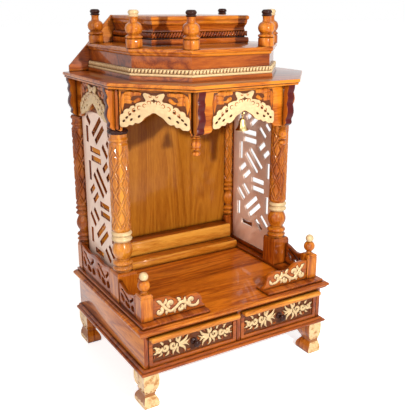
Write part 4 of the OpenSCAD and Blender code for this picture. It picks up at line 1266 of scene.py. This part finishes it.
def nosed_step(node):
    """A step whose top front edge is rounded by a wide bevel."""
    lowest, highest = low(node), high(node)
    nothing_selected()
    bpy.ops.mesh.primitive_cube_add(size=1, location=(lowest + highest) / 2)
    piece = bpy.context.object
    piece.name = node.replace("_", " ")
    piece.scale = highest - lowest
    bpy.ops.object.transform_apply(location=True, rotation=True, scale=True)
    bpy.ops.object.mode_set(mode="EDIT")
    bpy.ops.mesh.select_mode(type="EDGE")
    bpy.ops.mesh.select_all(action="DESELECT")
    bpy.ops.object.mode_set(mode="OBJECT")
    for edge in piece.data.edges:
        ends = [piece.data.vertices[i].co for i in edge.vertices]
        edge.select = all(e.y < lowest.y + 1e-5 and e.z > highest.z - 1e-5 for e in ends)
    bpy.ops.object.mode_set(mode="EDIT")
    bpy.ops.mesh.bevel(offset=7 * MM, segments=6, affect="EDGES")
    bpy.ops.object.mode_set(mode="OBJECT")
    soften(piece, 0.8 * MM, 1, 50)
    return piece


for node, tread in (("step_lower", honey["x"]), ("step_upper", chestnut["x"])):
    step = finish(nosed_step(node), amber["x"], node)
    second_finish(step, tread, lambda face: face.normal.z > 0.95)
print("lattices, back and steps done")

# %% [markdown]
# ## Canopy plan
# The canopy is half an octagon against the wall: long sides, short slanting faces and a front. All its
# boards follow that outline, moved in by some distance, so one function gives the six corners.

# %% Canopy plan
SLAB_X = high("roof_slab").x
SLAB_D = BACK - low("roof_slab").y
CUT_SIDE = 170 * MM
CUT_FRONT = 146 * MM
chamfer_length = math.hypot(CUT_FRONT, CUT_SIDE)
NORMAL_X = CUT_SIDE / chamfer_length
NORMAL_F = CUT_FRONT / chamfer_length
CHAMFER_C = NORMAL_X * SLAB_X + NORMAL_F * (SLAB_D - CUT_SIDE)


def side_corner(inset):
    """x and f of the corner between a side and a slanting face."""
    x = SLAB_X - inset
    return x, (CHAMFER_C - inset - NORMAL_X * x) / NORMAL_F


def front_corner(inset):
    """x and f of the corner between a slanting face and the front."""
    f = SLAB_D - inset
    return (CHAMFER_C - inset - NORMAL_F * f) / NORMAL_X, f


def canopy_outline(inset, z, back=0.0):
    """The six corners of the half octagon at a height."""
    side, front = side_corner(inset), front_corner(inset)
    right = [(side[0], back), side, front]
    corners = [(-x, f) for x, f in right] + right[::-1]
    return [at(x, f, z) for x, f in corners]


def canopy_levels(steps, back=0.0):
    """Outlines from heights and insets."""
    return [canopy_outline(inset, z, back) for z, inset in steps]


OVERHANG = SLAB_X - high("frieze_side_right").x
FRIEZE_F = SLAB_D - OVERHANG
FRIEZE_H = SLAB_BOTTOM - CAPITAL
POST_W = 18 * MM
POST_X = front_corner(OVERHANG)[0] - POST_W / 2
print("friezes at x", SLAB_X - OVERHANG, "and f", FRIEZE_F)

# %% [markdown]
# ## Roof slab
# The slab has a double edge: a round nose above, a fine groove, and a flat band below it.

# %% Roof slab
slab_steps = [(SLAB_BOTTOM, 5.5 * MM), (SLAB_BOTTOM + 0.8 * MM, 4.2 * MM), (SLAB_BOTTOM + 4.6 * MM, 4 * MM),
              (SLAB_BOTTOM + 5.4 * MM, 5.4 * MM), (SLAB_BOTTOM + 6.0 * MM, 5.4 * MM)]
slab_steps += rounded(SLAB_BOTTOM + 6.2 * MM, SLAB_TOP, 3 * MM, 3 * MM, 7)
slab_steps[-1] = (SLAB_TOP, 4 * MM)
roof = moulding("roof slab", canopy_levels(slab_steps))
finish(roof, chestnut["x"], "roof_slab")
second_finish(roof, honey["x"], lambda face: abs(face.normal.z) < 0.9)

# %% [markdown]
# ## Roof tier
# On the slab stands a box that repeats the half octagon: a foot, a row of gilt beads, a plain wall and a cap
# with a cove and a round nose.

# %% Roof tier
TIER_IN = SLAB_X - high("tier_lower").x
CAP_OUT = 9 * MM
ROOF_BACK_T = 8 * MM
BEAD_Z0, BEAD_Z1 = low("tier_beading").z, high("tier_beading").z
CAP_Z0, CAP_Z1 = low("tier_cap").z, high("tier_cap").z
tier_steps = [(SLAB_TOP, TIER_IN)] + hollow(SLAB_TOP + 2 * MM, BEAD_Z0, TIER_IN, TIER_IN + 2 * MM, 4)
tier_steps += [(BEAD_Z0, TIER_IN + CAP_OUT), (CAP_Z0, TIER_IN + CAP_OUT)]
tier = moulding("roof tier", canopy_levels(tier_steps, ROOF_BACK_T))
finish(tier, chestnut["x"], "tier_lower")

cap_steps = [(CAP_Z0, TIER_IN + CAP_OUT - 0.5 * MM)]
cap_steps += hollow(CAP_Z0, CAP_Z0 + 6 * MM, TIER_IN + 8 * MM, TIER_IN + 4.2 * MM, 4, False)
cap_steps += [(CAP_Z0 + 7 * MM, TIER_IN + 4 * MM)]
cap_steps += rounded(CAP_Z0 + 7 * MM, CAP_Z1 - 0.5 * MM, 3.5 * MM, TIER_IN + 3.5 * MM, 7) + [(CAP_Z1, TIER_IN + 5 * MM)]
cap = moulding("roof tier cap", canopy_levels(cap_steps, ROOF_BACK_T))
finish(cap, honey["x"], "tier_cap")

# %% [markdown]
# ## Beads and rope
# A beading is one small bead repeated along each face. Each bead is a low sphere, stretched and leaned over,
# and an array copies it along the face.

# %% Rows of beads


def bead_row(name, start, end, pitch, tall, thick, deep, lean):
    """Leaned beads from one point to another, standing out to the left of the way."""
    way = end - start
    count = max(1, round(way.length / pitch))
    step = way.length / count
    nothing_selected()
    bpy.ops.mesh.primitive_uv_sphere_add(segments=8, ring_count=6, radius=1, location=(0, 0, 0))
    piece = bpy.context.object
    piece.name = name
    reach = math.hypot(tall / 2, (tall / 2) * math.tan(math.radians(lean)))
    move_into_place(piece, Matrix.Translation((step / 2, 0, 0)) @ Matrix.Rotation(math.radians(lean), 4, "Y")
                    @ Matrix.Diagonal((thick / 2, deep / 2, reach, 1)))
    array = piece.modifiers.new("row", "ARRAY")
    array.use_relative_offset = False
    array.use_constant_offset = True
    array.constant_offset_displace = (step, 0, 0)
    array.count = count
    bpy.ops.object.modifier_apply(modifier=array.name)
    turn = math.atan2(way.y, way.x)
    move_into_place(piece, Matrix.Translation(start) @ Matrix.Rotation(turn, 4, "Z"))
    smooth(piece, 80)
    return piece


def bead_run(name, corners, pitch, tall, thick, deep, lean):
    """Rows of beads along an open run of corners, joined into one piece."""
    rows = [bead_row(name, a, b, pitch, tall, thick, deep, lean) for a, b in zip(corners, corners[1:])]
    return join(rows, name)


STRIP_Z1 = BEAD_Z0 + 6.5 * MM
bead_h = BEAD_Z1 - STRIP_Z1
bead_line = canopy_outline(TIER_IN + 4.4 * MM, (STRIP_Z1 + BEAD_Z1) / 2, ROOF_BACK_T + 1 * MM)
beading = bead_run("gilt beading", bead_line, 9.6 * MM, bead_h * 0.98, 7.4 * MM, 7.4 * MM, 22)
strip_steps = [(BEAD_Z0, TIER_IN + 3 * MM)] + rounded(BEAD_Z0 + 0.5 * MM, STRIP_Z1, 2 * MM, TIER_IN + 3.4 * MM, 5)
strip_steps += [(STRIP_Z1 + 0.3 * MM, TIER_IN + 6 * MM), (BEAD_Z1 - 0.2 * MM, TIER_IN + 6 * MM)]
strip = moulding("gilt beading strip", canopy_levels(strip_steps, ROOF_BACK_T))
finish(beading, gilt, "tier_beading")
finish(strip, gilt, "")

# %% [markdown]
# ## Crown
# The crown is the box at the back of the roof: a foot, a band of twisted rope, a hollow wall and a cap.

# %% Crown
CROWN_X, CROWN_D = high("crown_box").x, BACK - low("crown_box").y
ROPE_Z0, ROPE_Z1 = low("crown_rope").z, high("crown_rope").z
CROWN_CAP_Z0, CROWN_TOP = low("crown_cap").z, high("crown_cap").z


def crown_outline(inset, z):
    """A rectangle in front of the roof's back board."""
    return [at(-CROWN_X + inset, ROOF_BACK_T, z), at(-CROWN_X + inset, CROWN_D - inset, z),
            at(CROWN_X - inset, CROWN_D - inset, z), at(CROWN_X - inset, ROOF_BACK_T, z)]


crown_steps = [(CAP_Z1, 0.0)] + rounded(CAP_Z1 + 2 * MM, ROPE_Z0 - 2 * MM, 1.5 * MM, 1.6 * MM, 4)
crown_steps += [(ROPE_Z0, CAP_OUT), (ROPE_Z1 - 1 * MM, CAP_OUT)]
crown_steps += [(ROPE_Z1 + 1 * MM, CAP_OUT - 1 * MM), (ROPE_Z1 + 4 * MM, CAP_OUT + 0.5 * MM)]
crown_steps += [(ROPE_Z1 + 9 * MM, CAP_OUT), (ROPE_Z1 + 14 * MM, CAP_OUT - 2.2 * MM), (CROWN_CAP_Z0, CAP_OUT - 5 * MM)]
crown = moulding("crown box", [crown_outline(inset, z) for z, inset in crown_steps])
finish(crown, chestnut["x"], "crown_box")
crown_cap_steps = [(CROWN_CAP_Z0, 6 * MM)] + hollow(CROWN_CAP_Z0, CROWN_CAP_Z0 + 9 * MM, 5.5 * MM, 3.6 * MM, 4, False)
crown_cap_steps += rounded(CROWN_CAP_Z0 + 10 * MM, CROWN_TOP - 0.5 * MM, 3.5 * MM, 3.5 * MM, 7)
crown_cap_steps += [(CROWN_TOP, 5 * MM)]
crown_cap = moulding("crown cap", [crown_outline(inset, z) for z, inset in crown_cap_steps])
finish(crown_cap, honey["x"], "crown_cap")

rope_line = crown_outline(4.6 * MM, (ROPE_Z0 + ROPE_Z1) / 2)
rope = bead_run("crown rope", rope_line, 8.2 * MM, (ROPE_Z1 - ROPE_Z0) * 0.84, 7.6 * MM, 7.2 * MM, 38)
finish(rope, chestnut["z"], "crown_rope")

# %% Roof back board
back_low = high("roof_back").x
BACK_EDGE = 16 * MM
back_loop = [(-back_low, 0), (back_low, 0), (back_low, BACK_EDGE), (CROWN_X, CROWN_TOP - SLAB_TOP),
             (-CROWN_X, CROWN_TOP - SLAB_TOP), (-back_low, BACK_EDGE)]
roof_back = fretwork("roof back board", [], ROOF_BACK_T, 1.2 * MM, [back_loop])
move_into_place(roof_back, upright(0, 0, SLAB_TOP))
finish(roof_back, honey["x"], "roof_back")
print("roof done")

# %% [markdown]
# ## Posts and drops
# Below the slab, square posts carry the frieze at every corner. A turned drop hangs under each front post.

# %% Corner posts
post_places = []
for x, f in ((side_corner(OVERHANG)[0] - POST_W, 8 * MM), (side_corner(OVERHANG)[0] - POST_W, side_corner(OVERHANG)[1] - POST_W),
             (POST_X - POST_W / 2, FRIEZE_F - POST_W)):
    post_places += [(x, f), (-x - POST_W, f)]
posts = [plan_board("corner posts", x, x + POST_W, f, f + POST_W, CAPITAL, SLAB_BOTTOM, 6.5 * MM, 5)
         for x, f in post_places]
corner_posts = finish(join(posts, "corner posts"), honey["z"], "corner_posts")
# Painted shade: the posts at the sides and back take the darker chestnut, and the two front posts the lighter honey.
second_finish(corner_posts, chestnut["z"], lambda face: abs(face.center.x) > COLUMN_X - POST_W)

# %% Drops
DROP_R = (high("drop_right").x - low("drop_right").x) / 2
DROP_F = BACK - (low("drop_right").y + high("drop_right").y) / 2
DROP_Z = low("drop_right").z
DROP_H = CAPITAL - DROP_Z
r, h = DROP_R, DROP_H
drop_profile = [(0.0, 0.0)]
for k in range(1, 9):
    turn = math.pi * k / 10
    drop_profile.append((r * 0.88 * math.sin(turn), h * 0.14 * (1 - math.cos(turn))))
drop_profile += [(r * 0.42, h * 0.285), (r * 0.45, h * 0.31)]
drop_profile += swell(r * 0.80, h * 0.335, r * 0.80, h * 0.42, r * 1.0, 5)
drop_profile += swell(r * 0.80, h * 0.44, r * 0.80, h * 0.70, r * 1.0, 7)
drop_profile += swell(r * 0.76, h * 0.72, r * 0.74, h * 0.79, r * 0.93, 4)
drop_profile += [(r * 0.62, h * 0.82)] + swell(r * 0.72, h * 0.845, r * 0.72, h * 0.94, r * 0.96, 5)
drop_profile += [(r * 0.75, h), (0.0, h)]
right_drop = turned("right drop", drop_profile, at((low("drop_right").x + high("drop_right").x) / 2, DROP_F, DROP_Z), 40)
left_drop = mirrored(right_drop, "left drop")
finish(right_drop, honey["z"], "drop_right")
finish(left_drop, honey["z"], "drop_left")

# %% [markdown]
# ## Brackets
# Wavy sawn brackets stand out from the posts. Their wavy edge is painted a dark maroon, and their sides are
# varnished.

# %% Brackets


def flowing(points, steps=4):
    """A smooth open line through points, sampled so that its ends stay sharp."""
    result = []
    for k in range(len(points) - 1):
        p0, p1 = points[max(k - 1, 0)], points[k]
        p2, p3 = points[k + 1], points[min(k + 2, len(points) - 1)]
        for s in range(steps):
            t = s / steps
            result.append(tuple(
                0.5 * (2 * b + (c - a) * t + (2 * a - 5 * b + 4 * c - d) * t * t + (3 * b - a - 3 * c + d) * t ** 3)
                for a, b, c, d in zip(p0, p1, p2, p3)))
    return result + [tuple(points[-1])]


BRACKET_W = 20 * MM
BRACKET_OUT = OVERHANG - 5 * MM
bracket_wave = [(0.02, 0.0), (0.42, 0.03), (0.68, 0.09), (0.60, 0.17), (0.80, 0.25), (0.96, 0.36), (0.84, 0.49),
                (0.72, 0.56), (0.86, 0.65), (0.90, 0.72), (0.78, 0.80), (0.92, 0.88), (1.0, 0.94), (1.0, 1.0)]
bracket_loop = [(BRACKET_OUT * u, FRIEZE_H * w) for u, w in flowing(bracket_wave)]
bracket_loop += [(0.0, FRIEZE_H), (0.0, 0.0)]


def bracket(name, matrix):
    """One bracket, sawn flat and then stood against its post."""
    piece = fretwork(name, [], BRACKET_W, 1.0 * MM, [bracket_loop])
    move_into_place(piece, matrix)
    outward(piece)
    return piece


facing_front = Matrix(((0, 0, -1, 0), (-1, 0, 0, 0), (0, 1, 0, 0), (0, 0, 0, 1)))
facing_side = Matrix(((1, 0, 0, 0), (0, 0, -1, 0), (0, 1, 0, 0), (0, 0, 0, 1)))
SIDE_X = SLAB_X - OVERHANG
bracket_pieces = [bracket("brackets", Matrix.Translation(at(POST_X + BRACKET_W / 2, FRIEZE_F, CAPITAL)) @ facing_front)]
for f in (low_f + BRACKET_W / 2 for low_f in (9 * MM, 269.9 * MM)):
    bracket_pieces.append(bracket("brackets", Matrix.Translation(at(SIDE_X, f - BRACKET_W / 2, CAPITAL)) @ facing_side))
right_brackets = join(bracket_pieces, "right brackets")
left_brackets = mirrored(right_brackets, "left brackets")
both_brackets = join([right_brackets, left_brackets], "brackets")
finish(both_brackets, honey["z"], "brackets")
front_edge = BACK - FRIEZE_F
second_finish(both_brackets, maroon, lambda face: (abs(face.center.x) > SIDE_X + 0.5 * MM and abs(face.normal.y) < 0.8) or
              (face.center.y < front_edge - 0.5 * MM and abs(face.normal.x) < 0.8))
print("posts, drops and brackets done")

# %% [markdown]
# ## Friezes
# Between the posts hang frieze boards, cut away under an ogee arch. A thin dark brown sheet, partly painted
# shade of the carved recesses, brown leaves in its upper corners and a pierced gilt arch lie on each board.

# %% Frieze boards
ARCH_RISE = 50 * MM
edge_half = [(0, 50), (10, 45.8), (22, 40), (32.5, 31), (43, 24.1), (57, 21.5), (72, 18), (85.5, 15.7),
             (89, 11), (93, 4.6), (99, 1.6)]


def frieze_loop(width):
    """Outline of a board with its arched lower edge."""
    right = [(x * MM, z * MM) for x, z in flowing(edge_half)]
    left = [(-x, z) for x, z in right[::-1]][:-1]
    return [(width / 2, 0), (width / 2, FRIEZE_H), (-width / 2, FRIEZE_H), (-width / 2, 0)] + left + right


arch_right = [(0, 50), (14, 43.5), (24, 37.5), (34.5, 27), (43, 22.8), (50.5, 23.7), (56, 18), (66, 18), (72, 13),
              (79, 12.3), (88.5, 13), (90.5, 27), (88.5, 42), (81, 45.5), (79, 52), (72, 57), (66, 57.5), (60, 64),
              (52, 65.5), (49.5, 62.5), (47.5, 69), (33, 75), (21.5, 78), (25.5, 87.5), (27, 95.3), (16, 95.5),
              (7, 92)]
teardrops = [(52, 52.7), (63.3, 44), (80.2, 27), (60, 31.4), (39.3, 40), (72, 36)]


def drop_hole(x, y, lean, length=9.2, width=5.2):
    """A small pointed hole."""
    c, s = math.cos(math.radians(lean)), math.sin(math.radians(lean))
    shape = ((-0.5, 0.05), (-0.1, 0.5), (0.35, 0.35), (0.5, -0.05), (0.1, -0.5), (-0.35, -0.35))
    return [((x + u * length * c - v * width * s) * MM, (y + u * length * s + v * width * c) * MM) for u, v in shape]


def gilt_arch(name):
    """The pierced gilt arch, flat, its back on the board's face."""
    outline = [(x * MM, z * MM) for x, z in arch_right] + [(-x * MM, z * MM) for x, z in arch_right[:0:-1]]
    holes = []
    for x, y in teardrops:
        hole = drop_hole(x, y, -35)
        holes += [hole, [(-px, py) for px, py in hole[::-1]]]
    holes.append([(x * MM, y * MM) for x, y in ((-8.5, 78.8), (-3, 80.6), (0, 84), (3, 80.6), (8.5, 78.8), (3, 77),
                                                 (0, 73.6), (-3, 77))])
    return fretwork(name, [outline] + holes, 4.6 * MM, 1.1 * MM)


def corner_leaves(name):
    """Carved leaves in both upper corners of a board."""
    strokes = []
    for side in (-1, 1):
        for x0, y0, x1, y1, w, b in ((34, 93, 60, 86, 6.2, 0.2), (38, 84, 58, 75, 6.0, -0.2), (52, 93, 82, 91, 7.0, 0.1),
                                     (60, 82, 86, 80, 7.0, 0.15), (58, 72, 84, 68, 6.4, 0.2), (68, 90, 85, 70, 5.0, -0.2),
                                     (80, 92, 84, 50, 6.4, 0.05)):
            strokes.append([(x * side * MM, y * MM, width * MM) for x, y, width in leaf(x0, y0, x1, y1, w, b)])
        strokes.append([(x * side * MM, y * MM, width * MM) for x, y, width in curl(72, 82, 6.5, 30, 1.0, 2.4, 10, 0.3)])
    return scrolls(name, strokes, 0.4, 2)


def engraving(name):
    """The brown lines cut into a gilt arch, as thin strokes that just stand out of it."""
    strokes = []
    for side in (-1, 1):
        for x, y, radius, start in ((13, 73, 6.5, 200), (24, 66, 6.0, 150), (38, 60, 6.0, 130), (51, 54, 6.0, 110),
                                    (63, 47, 4.0, 90), (8, 90, 4.0, 20)):
            angle = start if side > 0 else 180 - start
            strokes.append([(px * MM, py * MM, width * MM) for px, py, width in
                            curl(x * side, y, radius, angle, 0.8, 1.0, 9, 0.45, -side)])
    return scrolls(name, strokes, 0.5, 1)


def dress_board(word, width, matrix, node, grain):
    """A frieze board and what is carved on it, stood in place."""
    base = fretwork(word + " frieze", [], 10 * MM, 1.0 * MM, [frieze_loop(width)])
    # Painted shade: a thin dark sheet behind the leaves and the arch stands partly for the shade of the carved
    # recesses.
    ground_loop = [(x * MM, z * MM) for x, z in ((-88, 40), (-89, 70), (-86, 97.5), (86, 97.5), (89, 70), (88, 40),
                                                (58, 42), (35, 52), (0, 62), (-35, 52), (-58, 42))]
    ground = fretwork(word + " frieze ground", [], 0.6 * MM, 0.1 * MM, [ground_loop])
    leaves = corner_leaves(word + " frieze leaves")
    arch = gilt_arch(word + " gilt arch")
    out = Matrix.Translation((0, 0, 10 * MM))
    lines = engraving(word + " gilt arch lines")
    for piece, lift in ((base, 0.0), (ground, 10 * MM), (leaves, 10.6 * MM), (arch, 10.2 * MM), (lines, 14.65 * MM)):
        move_into_place(piece, matrix @ Matrix.Translation((0, 0, lift)))
    finish(base, honey[grain], node)
    finish(ground, ground_and_shade_brown, "")
    finish(leaves, honey["z"], "")
    finish(arch, gilt, "")
    finish(lines, chestnut["z"], "")
    return base, ground, leaves, arch, lines


TURN = math.degrees(math.atan2(NORMAL_X, NORMAL_F))
side_0, front_0 = side_corner(OVERHANG), front_corner(OVERHANG)
chamfer_mid = ((side_0[0] + front_0[0]) / 2, (side_0[1] + front_0[1]) / 2)
CHAMFER_L = math.hypot(side_0[0] - front_0[0], side_0[1] - front_0[1])
BOARD_T = 10 * MM
dress_board("front", 2 * (front_0[0] - POST_W), upright(0, FRIEZE_F - BOARD_T, CAPITAL), "frieze_front", "x")
chamfer_f = (chamfer_mid[0] - BOARD_T * NORMAL_X, chamfer_mid[1] - BOARD_T * NORMAL_F)
SIDE_L = side_0[1] - 2 * POST_W - 8 * MM
side_mid_f = (8 * MM + side_0[1]) / 2
for word, sign in (("right", 1), ("left", -1)):
    matrix = upright(sign * chamfer_f[0], chamfer_f[1], CAPITAL, sign * TURN)
    dress_board(word + " slanting", CHAMFER_L - 2 * 9.5 * MM, matrix, "frieze_chamfer_" + word, "x")
    matrix = upright(sign * (SIDE_X - BOARD_T), side_mid_f, CAPITAL, sign * 90)
    dress_board(word + " side", SIDE_L, matrix, "frieze_side_" + word, "y")
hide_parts("gilt_arches")
print("friezes done")

# %% [markdown]
# ## Finials
# Six turned finials stand on the tier: a plain drum, a ring, a round bulb, a slim neck and a small head,
# which is painted black on most of them and gilt on two.

# %% Finials
FINIAL_H = 90 * MM
FINIAL_R = 21.5 * MM
FINIAL_IN = TIER_IN + 19.5 * MM
finial_profile = [(0.0, 0.0), (20 * MM, 0.0), (20.5 * MM, 1 * MM), (20.5 * MM, 19.5 * MM), (20 * MM, 21 * MM),
                  (18 * MM, 22 * MM)]
finial_profile += swell(19.5 * MM, 23 * MM, 19.5 * MM, 29 * MM, FINIAL_R, 4)
finial_profile += [(17 * MM, 30.5 * MM), (15.8 * MM, 32.5 * MM)]
for k in range(1, 15):
    turn = math.radians(-52 + 128 * k / 14)
    finial_profile.append((8.5 * MM + 13 * MM * math.cos(turn), 45.5 * MM + 15 * MM * math.sin(turn)))
finial_profile += [(10.6 * MM, 62 * MM), (9.8 * MM, 66 * MM), (10.2 * MM, 71 * MM), (11.0 * MM, 73.5 * MM)]
finial_profile += swell(11.4 * MM, 74 * MM, 11.4 * MM, 78 * MM, 13.2 * MM, 4)
finial_profile += swell(11.0 * MM, 79 * MM, 10.8 * MM, 88.6 * MM, 13.6 * MM, 7) + [(9 * MM, 89.7 * MM), (0.0, 90 * MM)]
side_f, front_f = side_corner(FINIAL_IN), front_corner(FINIAL_IN)
finial_places = [(side_f[0], ROOF_BACK_T + 22 * MM, black_paint, black_paint), (side_f[0], side_f[1], gilt, gilt),
                 (front_f[0], front_f[1], black_paint, black_paint)]
for number, (x, f, right_head, left_head) in enumerate(finial_places):
    right = turned("right finial %d" % number, finial_profile, at(x, f, CAP_Z1), 48)
    left = mirrored(right, "left finial %d" % number)
    for piece, head, side in ((right, right_head, "right"), (left, left_head, "left")):
        finish(piece, honey["z"], "finials_" + side if number == 0 else "")
        second_finish(piece, head, lambda face: face.center.z > CAP_Z1 + 73.2 * MM)
print("finials done")

# %% [markdown]
# ## Bell
# A small brass bell hangs from a hook under the front frieze. The hook is screwed into the board, and the
# bell swings on its own ring.

# %% Bell
BELL_F = FRIEZE_F - BOARD_T / 2
RING_R, RING_WIRE = 4 * MM, 2 * MM
HOOK_Z = high("bell_hook").z
EYE_Z = low("bell_hook").z + RING_WIRE / 2 + RING_R
BELL_TOP = high("bell").z - 2 * RING_R - RING_WIRE / 2 - 3 * MM
BELL_Z = low("bell").z
BELL_H = BELL_TOP - BELL_Z
LOOP_Z = BELL_TOP + 3 * MM + RING_R


def ring(name, z, sideways):
    """A small ring of wire, upright."""
    nothing_selected()
    turn = (math.radians(90), 0, math.radians(90 if sideways else 0))
    bpy.ops.mesh.primitive_torus_add(major_segments=28, minor_segments=10, major_radius=RING_R,
                                     minor_radius=RING_WIRE / 2, location=at(0, BELL_F, z), rotation=turn)
    piece = bpy.context.object
    bpy.ops.object.transform_apply(location=True, rotation=True, scale=True)
    piece.name = name
    smooth(piece, 80)
    return piece


stem = turned("bell hook", [(0.0, 0.0), (0.8 * MM, 0.0), (0.8 * MM, HOOK_Z - EYE_Z - RING_R + 0.5 * MM),
                            (0.0, HOOK_Z - EYE_Z - RING_R + 0.5 * MM)], at(0, BELL_F, EYE_Z + RING_R - 0.5 * MM), 16)
hook = join([stem, ring("eye", EYE_Z, False)], "bell hook")
finish(hook, brass, "bell_hook")

R = (high("bell").x - low("bell").x) / 2
outer = [(0.05, 1.03), (0.14, 1.02), (0.20, 0.99), (0.34, 0.955), (0.43, 0.90), (0.47, 0.84), (0.50, 0.72), (0.54, 0.58),
         (0.60, 0.42), (0.69, 0.27), (0.80, 0.15), (0.90, 0.075), (0.97, 0.045), (1.0, 0.025), (0.99, 0.0)]
inner = [(0.93, 0.0), (0.86, 0.06), (0.72, 0.16), (0.60, 0.30), (0.52, 0.44), (0.46, 0.58), (0.42, 0.72), (0.36, 0.86),
         (0.25, 0.92), (0.0, 0.93)]
bell_profile = [(0.0, BELL_H * 1.03)] + [(R * u, BELL_H * w) for u, w in outer + inner]
shell = turned("bell", bell_profile, at(0, BELL_F, BELL_Z), 48, 40)
link = turned("bell stem", [(0.0, 0.0), (2.4 * MM, 0.0), (2.6 * MM, 1.2 * MM), (1.8 * MM, 2.4 * MM), (1.6 * MM, 3.6 * MM),
                            (0.0, 3.8 * MM)], at(0, BELL_F, BELL_TOP - 0.2 * MM), 24)
whole_bell = join([shell, link, ring("bell loop", LOOP_Z, True)], "brass bell")
finish(whole_bell, brass, "bell", "bell")
print("bell done")

# %% [markdown]
# ## Floor and light
# A pale floor keeps the shadow of the temple. A key light stands in front, and a large soft fill comes from
# the left and above. The floor and the sky are white in the picture.

# %% Floor
nothing_selected()
bpy.ops.mesh.primitive_plane_add(size=60, location=(0, 0, 0))
floor = bpy.context.object
floor.name = "floor"
floor_paint, floor_tree, floor_shader = new_material("white floor")
floor_shader.inputs["Base Color"].default_value = (0.92, 0.92, 0.92, 1)
floor_shader.inputs["Roughness"].default_value = 0.7
floor_shader.inputs["Emission Color"].default_value = (1, 1, 1, 1)


def seen_directly(tree):
    """1 for camera rays, reflections and rays through glass, and 0 for light that bounces."""
    rays = tree.nodes.new("ShaderNodeLightPath")
    total = rays.outputs["Is Camera Ray"]
    for name in ("Is Glossy Ray", "Is Transmission Ray"):
        add = add_node(tree, "ShaderNodeMath", operation="ADD", use_clamp=True)
        tree.links.new(total, add.inputs[0])
        tree.links.new(rays.outputs[name], add.inputs[1])
        total = add.outputs[0]
    return total


glow = add_node(floor_tree, "ShaderNodeMath", operation="MULTIPLY")
glow.inputs[1].default_value = 0.68
floor_tree.links.new(seen_directly(floor_tree), glow.inputs[0])
floor_tree.links.new(glow.outputs[0], floor_shader.inputs["Emission Strength"])
floor.data.materials.append(floor_paint)

# %% Sky
bpy.context.scene.view_settings.view_transform = "Standard"
world = bpy.data.worlds.new("studio")
bpy.context.scene.world = world
world.use_nodes = True
sky = world.node_tree
background = sky.nodes["Background"]
background.inputs["Color"].default_value = (1.0, 0.97, 0.95, 1)
background.inputs["Strength"].default_value = 0.30
white = add_node(sky, "ShaderNodeBackground", Strength=1.0)
white.inputs["Color"].default_value = (1, 1, 1, 1)
choose = sky.nodes.new("ShaderNodeMixShader")
sky.links.new(seen_directly(sky), choose.inputs[0])
sky.links.new(background.outputs[0], choose.inputs[1])
sky.links.new(white.outputs[0], choose.inputs[2])
sky.links.new(choose.outputs[0], sky.nodes["World Output"].inputs["Surface"])

# %% Lamps


def lamp(name, place, aim, size, power, colour=(1, 1, 1)):
    """A square area light at a place, turned to what it lights."""
    light = bpy.data.lights.new(name, "AREA")
    light.size = size
    light.energy = power
    light.color = colour
    piece = bpy.data.objects.new(name, light)
    bpy.context.scene.collection.objects.link(piece)
    piece.location = place
    piece.rotation_euler = (Vector(aim) - Vector(place)).to_track_quat("-Z", "Y").to_euler()
    return piece


lamp("key light", (-0.065, -1.55, 1.08), (0, 0, 0.45), 0.05, 27)
lamp("left fill", (-2.0, -0.7, 1.4), (0, 0, 0.35), 1.6, 20, (1.0, 0.88, 0.84))
lamp("top fill", (0.3, -0.9, 2.4), (0, 0, 0.8), 1.2, 7)
